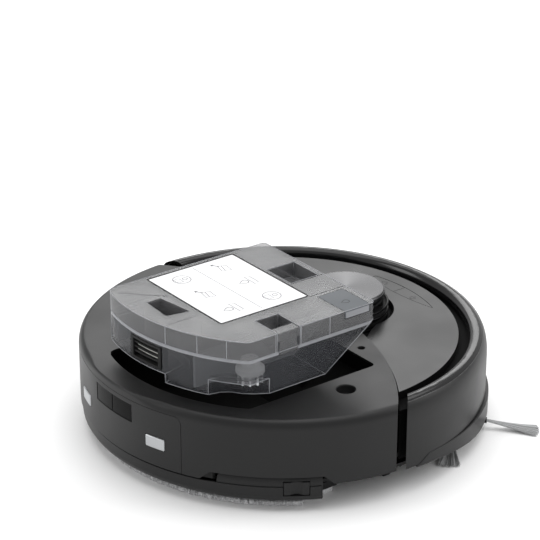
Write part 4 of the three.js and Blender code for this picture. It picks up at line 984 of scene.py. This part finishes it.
def mop_pad():
    """A thick looped pad: a crowned body with a dense fringe of loops round its rim."""
    pad = prism(mop_outline(155.0, 132, 50), 0.15, 5.7, "mop_cloth")
    soften(pad, 1.6, segments=4)
    add(pad, "mop", FIBRE, "mop_pad", slot="microfibre")
    outline = mop_outline(155.2, 132.3, 49.8, steps=FRINGE)
    verts, faces = [], []
    for i in range(FRINGE):
        (xa, ya), (xb, yb) = outline[i], outline[i + 1]
        x, y = (xa + xb) / 2, (ya + yb) / 2
        along = Vector((xb - xa, yb - ya)).normalized()
        out = Vector((along.y, -along.x))
        reach = random.uniform(2.8, 4.8)
        top, low = random.uniform(3.4, 4.8), random.uniform(0.05, 0.7)
        w = random.uniform(0.26, 0.42)
        ring = [(0, top), (reach * 0.7, top - 0.7), (reach, low + 1.2), (reach * 0.8, low), (0, low + 0.2)]
        base = len(verts)
        for s in (-1, 1):
            verts += [(x + out.x * d + along.x * s * w, y + out.y * d + along.y * s * w, z) for d, z in ring]
        ends = [[0, 1, 2, 3, 4], [9, 8, 7, 6, 5]]
        sides = [[k, k + 5, (k + 1) % 5 + 5, (k + 1) % 5] for k in range(5)]
        faces += [[base + k for k in face] for face in ends + sides]
    fringe = new_object("mop_fringe", verts, faces)
    add(fringe, "mop", FIBRE, slot="microfibre")


# ---------------------------------------------------------------- brushes and wheels

def side_brush():
    """Four tufts of fine bristles, spreading from the hub's arms to the floor."""
    hub_x, hub_y = BRUSH_HUB
    for i in range(ARMS):
        turn = math.radians(45 + 90 * i)
        ca, sa = math.cos(turn), math.sin(turn)
        verts, faces, tones = [], [], []
        for k in range(STRANDS):
            u = random.uniform(-1, 1)
            v = random.uniform(0, 1)
            reach = random.uniform(67.5, 71) - 1.5 * u * u
            path = []
            for t in (0, 0.2, 0.42, 0.66, 0.85, 1.0):
                x = 25 + (reach - 25) * t
                y = u * (0.9 + 8.3 * t ** 1.5)
                z = (7.2 + v * 1.6) * (1 - t) ** 1.2 + (0.8 + v * 0.8) * t
                path.append((x, y, z))
            w = 0.21
            tones += [random.choice((0, 0, 1, 1, 2))] * 17
            base = len(verts)
            for x, y, z in path:
                for dy, dz in ((-w, -w), (w, -w), (0, w)):
                    px, py = x, y + dy
                    place = (hub_x + px * ca - py * sa, hub_y + px * sa + py * ca, max(0.15, z + dz))
                    verts.append(place)
            for s in range(len(path) - 1):
                for e in range(3):
                    a, b = base + 3 * s + e, base + 3 * s + (e + 1) % 3
                    faces.append([a, b, b + 3, a + 3])
            faces += [[base, base + 2, base + 1], [base + 15, base + 16, base + 17]]
        mesh = bpy.data.meshes.new(f"tuft_{i + 1}")
        mesh.from_pydata([[c * MM for c in p] for p in verts], [], faces)
        mesh.polygons.foreach_set("material_index", tones)
        tuft = bpy.data.objects.new(f"tuft_{i + 1}", mesh)
        bpy.context.scene.collection.objects.link(tuft)
        for mat in BRISTLES:
            mesh.materials.append(mat)
        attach(tuft, "side_brush")
        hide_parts(f"side_brush_tuft_{i + 1}")
    boss = drum(*BRUSH_HUB, 10, 4.6, 11, 48, "brush_boss")
    arms = []
    to_hub = Matrix.Translation((hub_x * MM, hub_y * MM, 0))
    for i in range(ARMS):
        arm = prism([(6, -4.2), (20, -2.2), (27, -1.5), (27, 1.5), (20, 2.2), (6, 4.2)], 5.6, 9.6, "arm")
        arm.data.transform(to_hub @ Matrix.Rotation(math.radians(45 + 90 * i), 4, "Z"))
        arms.append(arm)
    join(boss, *arms, drum(*BRUSH_HUB, 3, 10, 27, 32))
    soften(boss, 0.6, segments=3)
    add(boss, "side_brush", RUBBER, "side_brush_hub", slot="soft_rubber")


# ---------------------------------------------------------------- carried-over CAD nodes

NODE_MATERIALS = {
    "lower_chassis": BLACK, "bay_liner": BAY_BLACK, "front_deck": BAY_BLACK, "lidar_base": BAY_BLACK,
    "lidar_head": GLOSS_BLACK, "lidar_guard": BLACK, "roller_chamber": BLACK, "suction_duct": BLACK,
    "roller_brush": RUBBER, "brush_bearing": BLACK, "brush_guard": CHARCOAL, "roller_motor": MOTOR,
    "battery_pack": WRAP, "main_board": BOARD, "fan_housing": BLACK, "fan_impeller": BLACK,
    "exhaust_duct": BLACK, "wheel_arm_right": BLACK, "wheel_arm_left": BLACK,
    "wheel_hub_right": CHARCOAL, "wheel_hub_left": CHARCOAL, "tyre_right": TYRE, "tyre_left": TYRE,
    "caster_fork": CHARCOAL, "caster_wheel": RUBBER, "side_brush_motor": MOTOR,
    "lid_hinge_pin": CONTACT, "filter_media": FILTER, "inlet_flap": PLUG,
    **{f"cliff_sensor_{i}": GLOSS_BLACK for i in range(1, 5)},
}


def dress_nodes():
    for node, mat in NODE_MATERIALS.items():
        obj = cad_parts[node]
        obj.data.materials.clear()
        obj.data.materials.append(mat)
        edge = obj.modifiers.new("edge", "BEVEL")
        edge.width = 0.25 * MM
        edge.segments = 2
        edge.limit_method = "ANGLE"
        edge.angle_limit = math.radians(40)


# ---------------------------------------------------------------- stage, light and camera

def stage():
    corners = [(x * FLOOR, y * FLOOR, -0.2) for x, y in ((-1, -1), (1, -1), (1, 1), (-1, 1))]
    floor = new_object("floor", corners, [[0, 1, 2, 3]])
    paint(floor, material("floor_white", (0.93, 0.93, 0.93), 0.9, Specular_IOR_Level=0.1))
    world = bpy.data.worlds.new("studio")
    world.use_nodes = True
    world.node_tree.nodes["Background"].inputs["Color"].default_value = (1, 1, 1, 1)
    world.node_tree.nodes["Background"].inputs["Strength"].default_value = 0.7
    bpy.context.scene.world = world
    bpy.context.scene.view_settings.view_transform = "Standard"


def area_light(name, azimuth, elevation, distance, size, power):
    """A soft light aimed at the object. Azimuth 0 is on the -Y side, 90 on the +X side."""
    light = bpy.data.lights.new(name, "AREA")
    light.shape = "RECTANGLE"
    light.size, light.size_y = size
    light.energy = power
    obj = bpy.data.objects.new(name, light)
    a, e = math.radians(azimuth), math.radians(elevation)
    at = Vector((math.sin(a) * math.cos(e), -math.cos(a) * math.cos(e), math.sin(e)))
    target = Vector((0, 0, 0.05))
    obj.location = target + at * distance
    obj.rotation_euler = at.to_track_quat("Z", "Y").to_euler()
    bpy.context.scene.collection.objects.link(obj)


def view_axes(azimuth, elevation):
    a, e = math.radians(azimuth), math.radians(elevation)
    back = Vector((math.sin(a) * math.cos(e), -math.cos(a) * math.cos(e), math.sin(e)))
    right = Vector((math.cos(a), math.sin(a), 0))
    return right, back.cross(right), back


def camera():
    data = bpy.data.cameras.new("camera")
    data.sensor_width = 36
    data.lens = 141.53
    obj = bpy.data.objects.new("camera", data)
    bpy.context.scene.collection.objects.link(obj)
    place = Vector((0, 0, 0.04)) + view_axes(232.77, 26.97)[2] * 1.78754
    right, up, back = view_axes(233.16, 24.32)
    obj.matrix_world = Matrix.Translation(place) @ Matrix((right, up, back)).transposed().to_4x4()
    bpy.context.scene.camera = obj


camera()
stage()
area_light("top_box", 40, 82, 2.3, (2.6, 2.6), 38)
area_light("back_box", 53, 30, 2.6, (2.2, 0.7), 15)
area_light("right_box", 322, 30, 2.2, (0.9, 1.3), 14)
area_light("left_box", 148, 26, 2.2, (0.8, 1.2), 9)

rear_shell()
dished_hole("dimple_cup", DIMPLE, 7.6, 9.0, 0.9)
dished_hole("pin_cup", SMALL_HOLE, 3.0, 6.0, 0.5)
charging_panel()
front_cover()
button_icons()
bumper()
lidar()
bin_tub()
bin_internals()
bin_lid()
bin_hinge()
label()
latch_and_plug()
filter_unit()
valve()
mop_plate()
mop_pad()
side_brush()
dress_nodes()
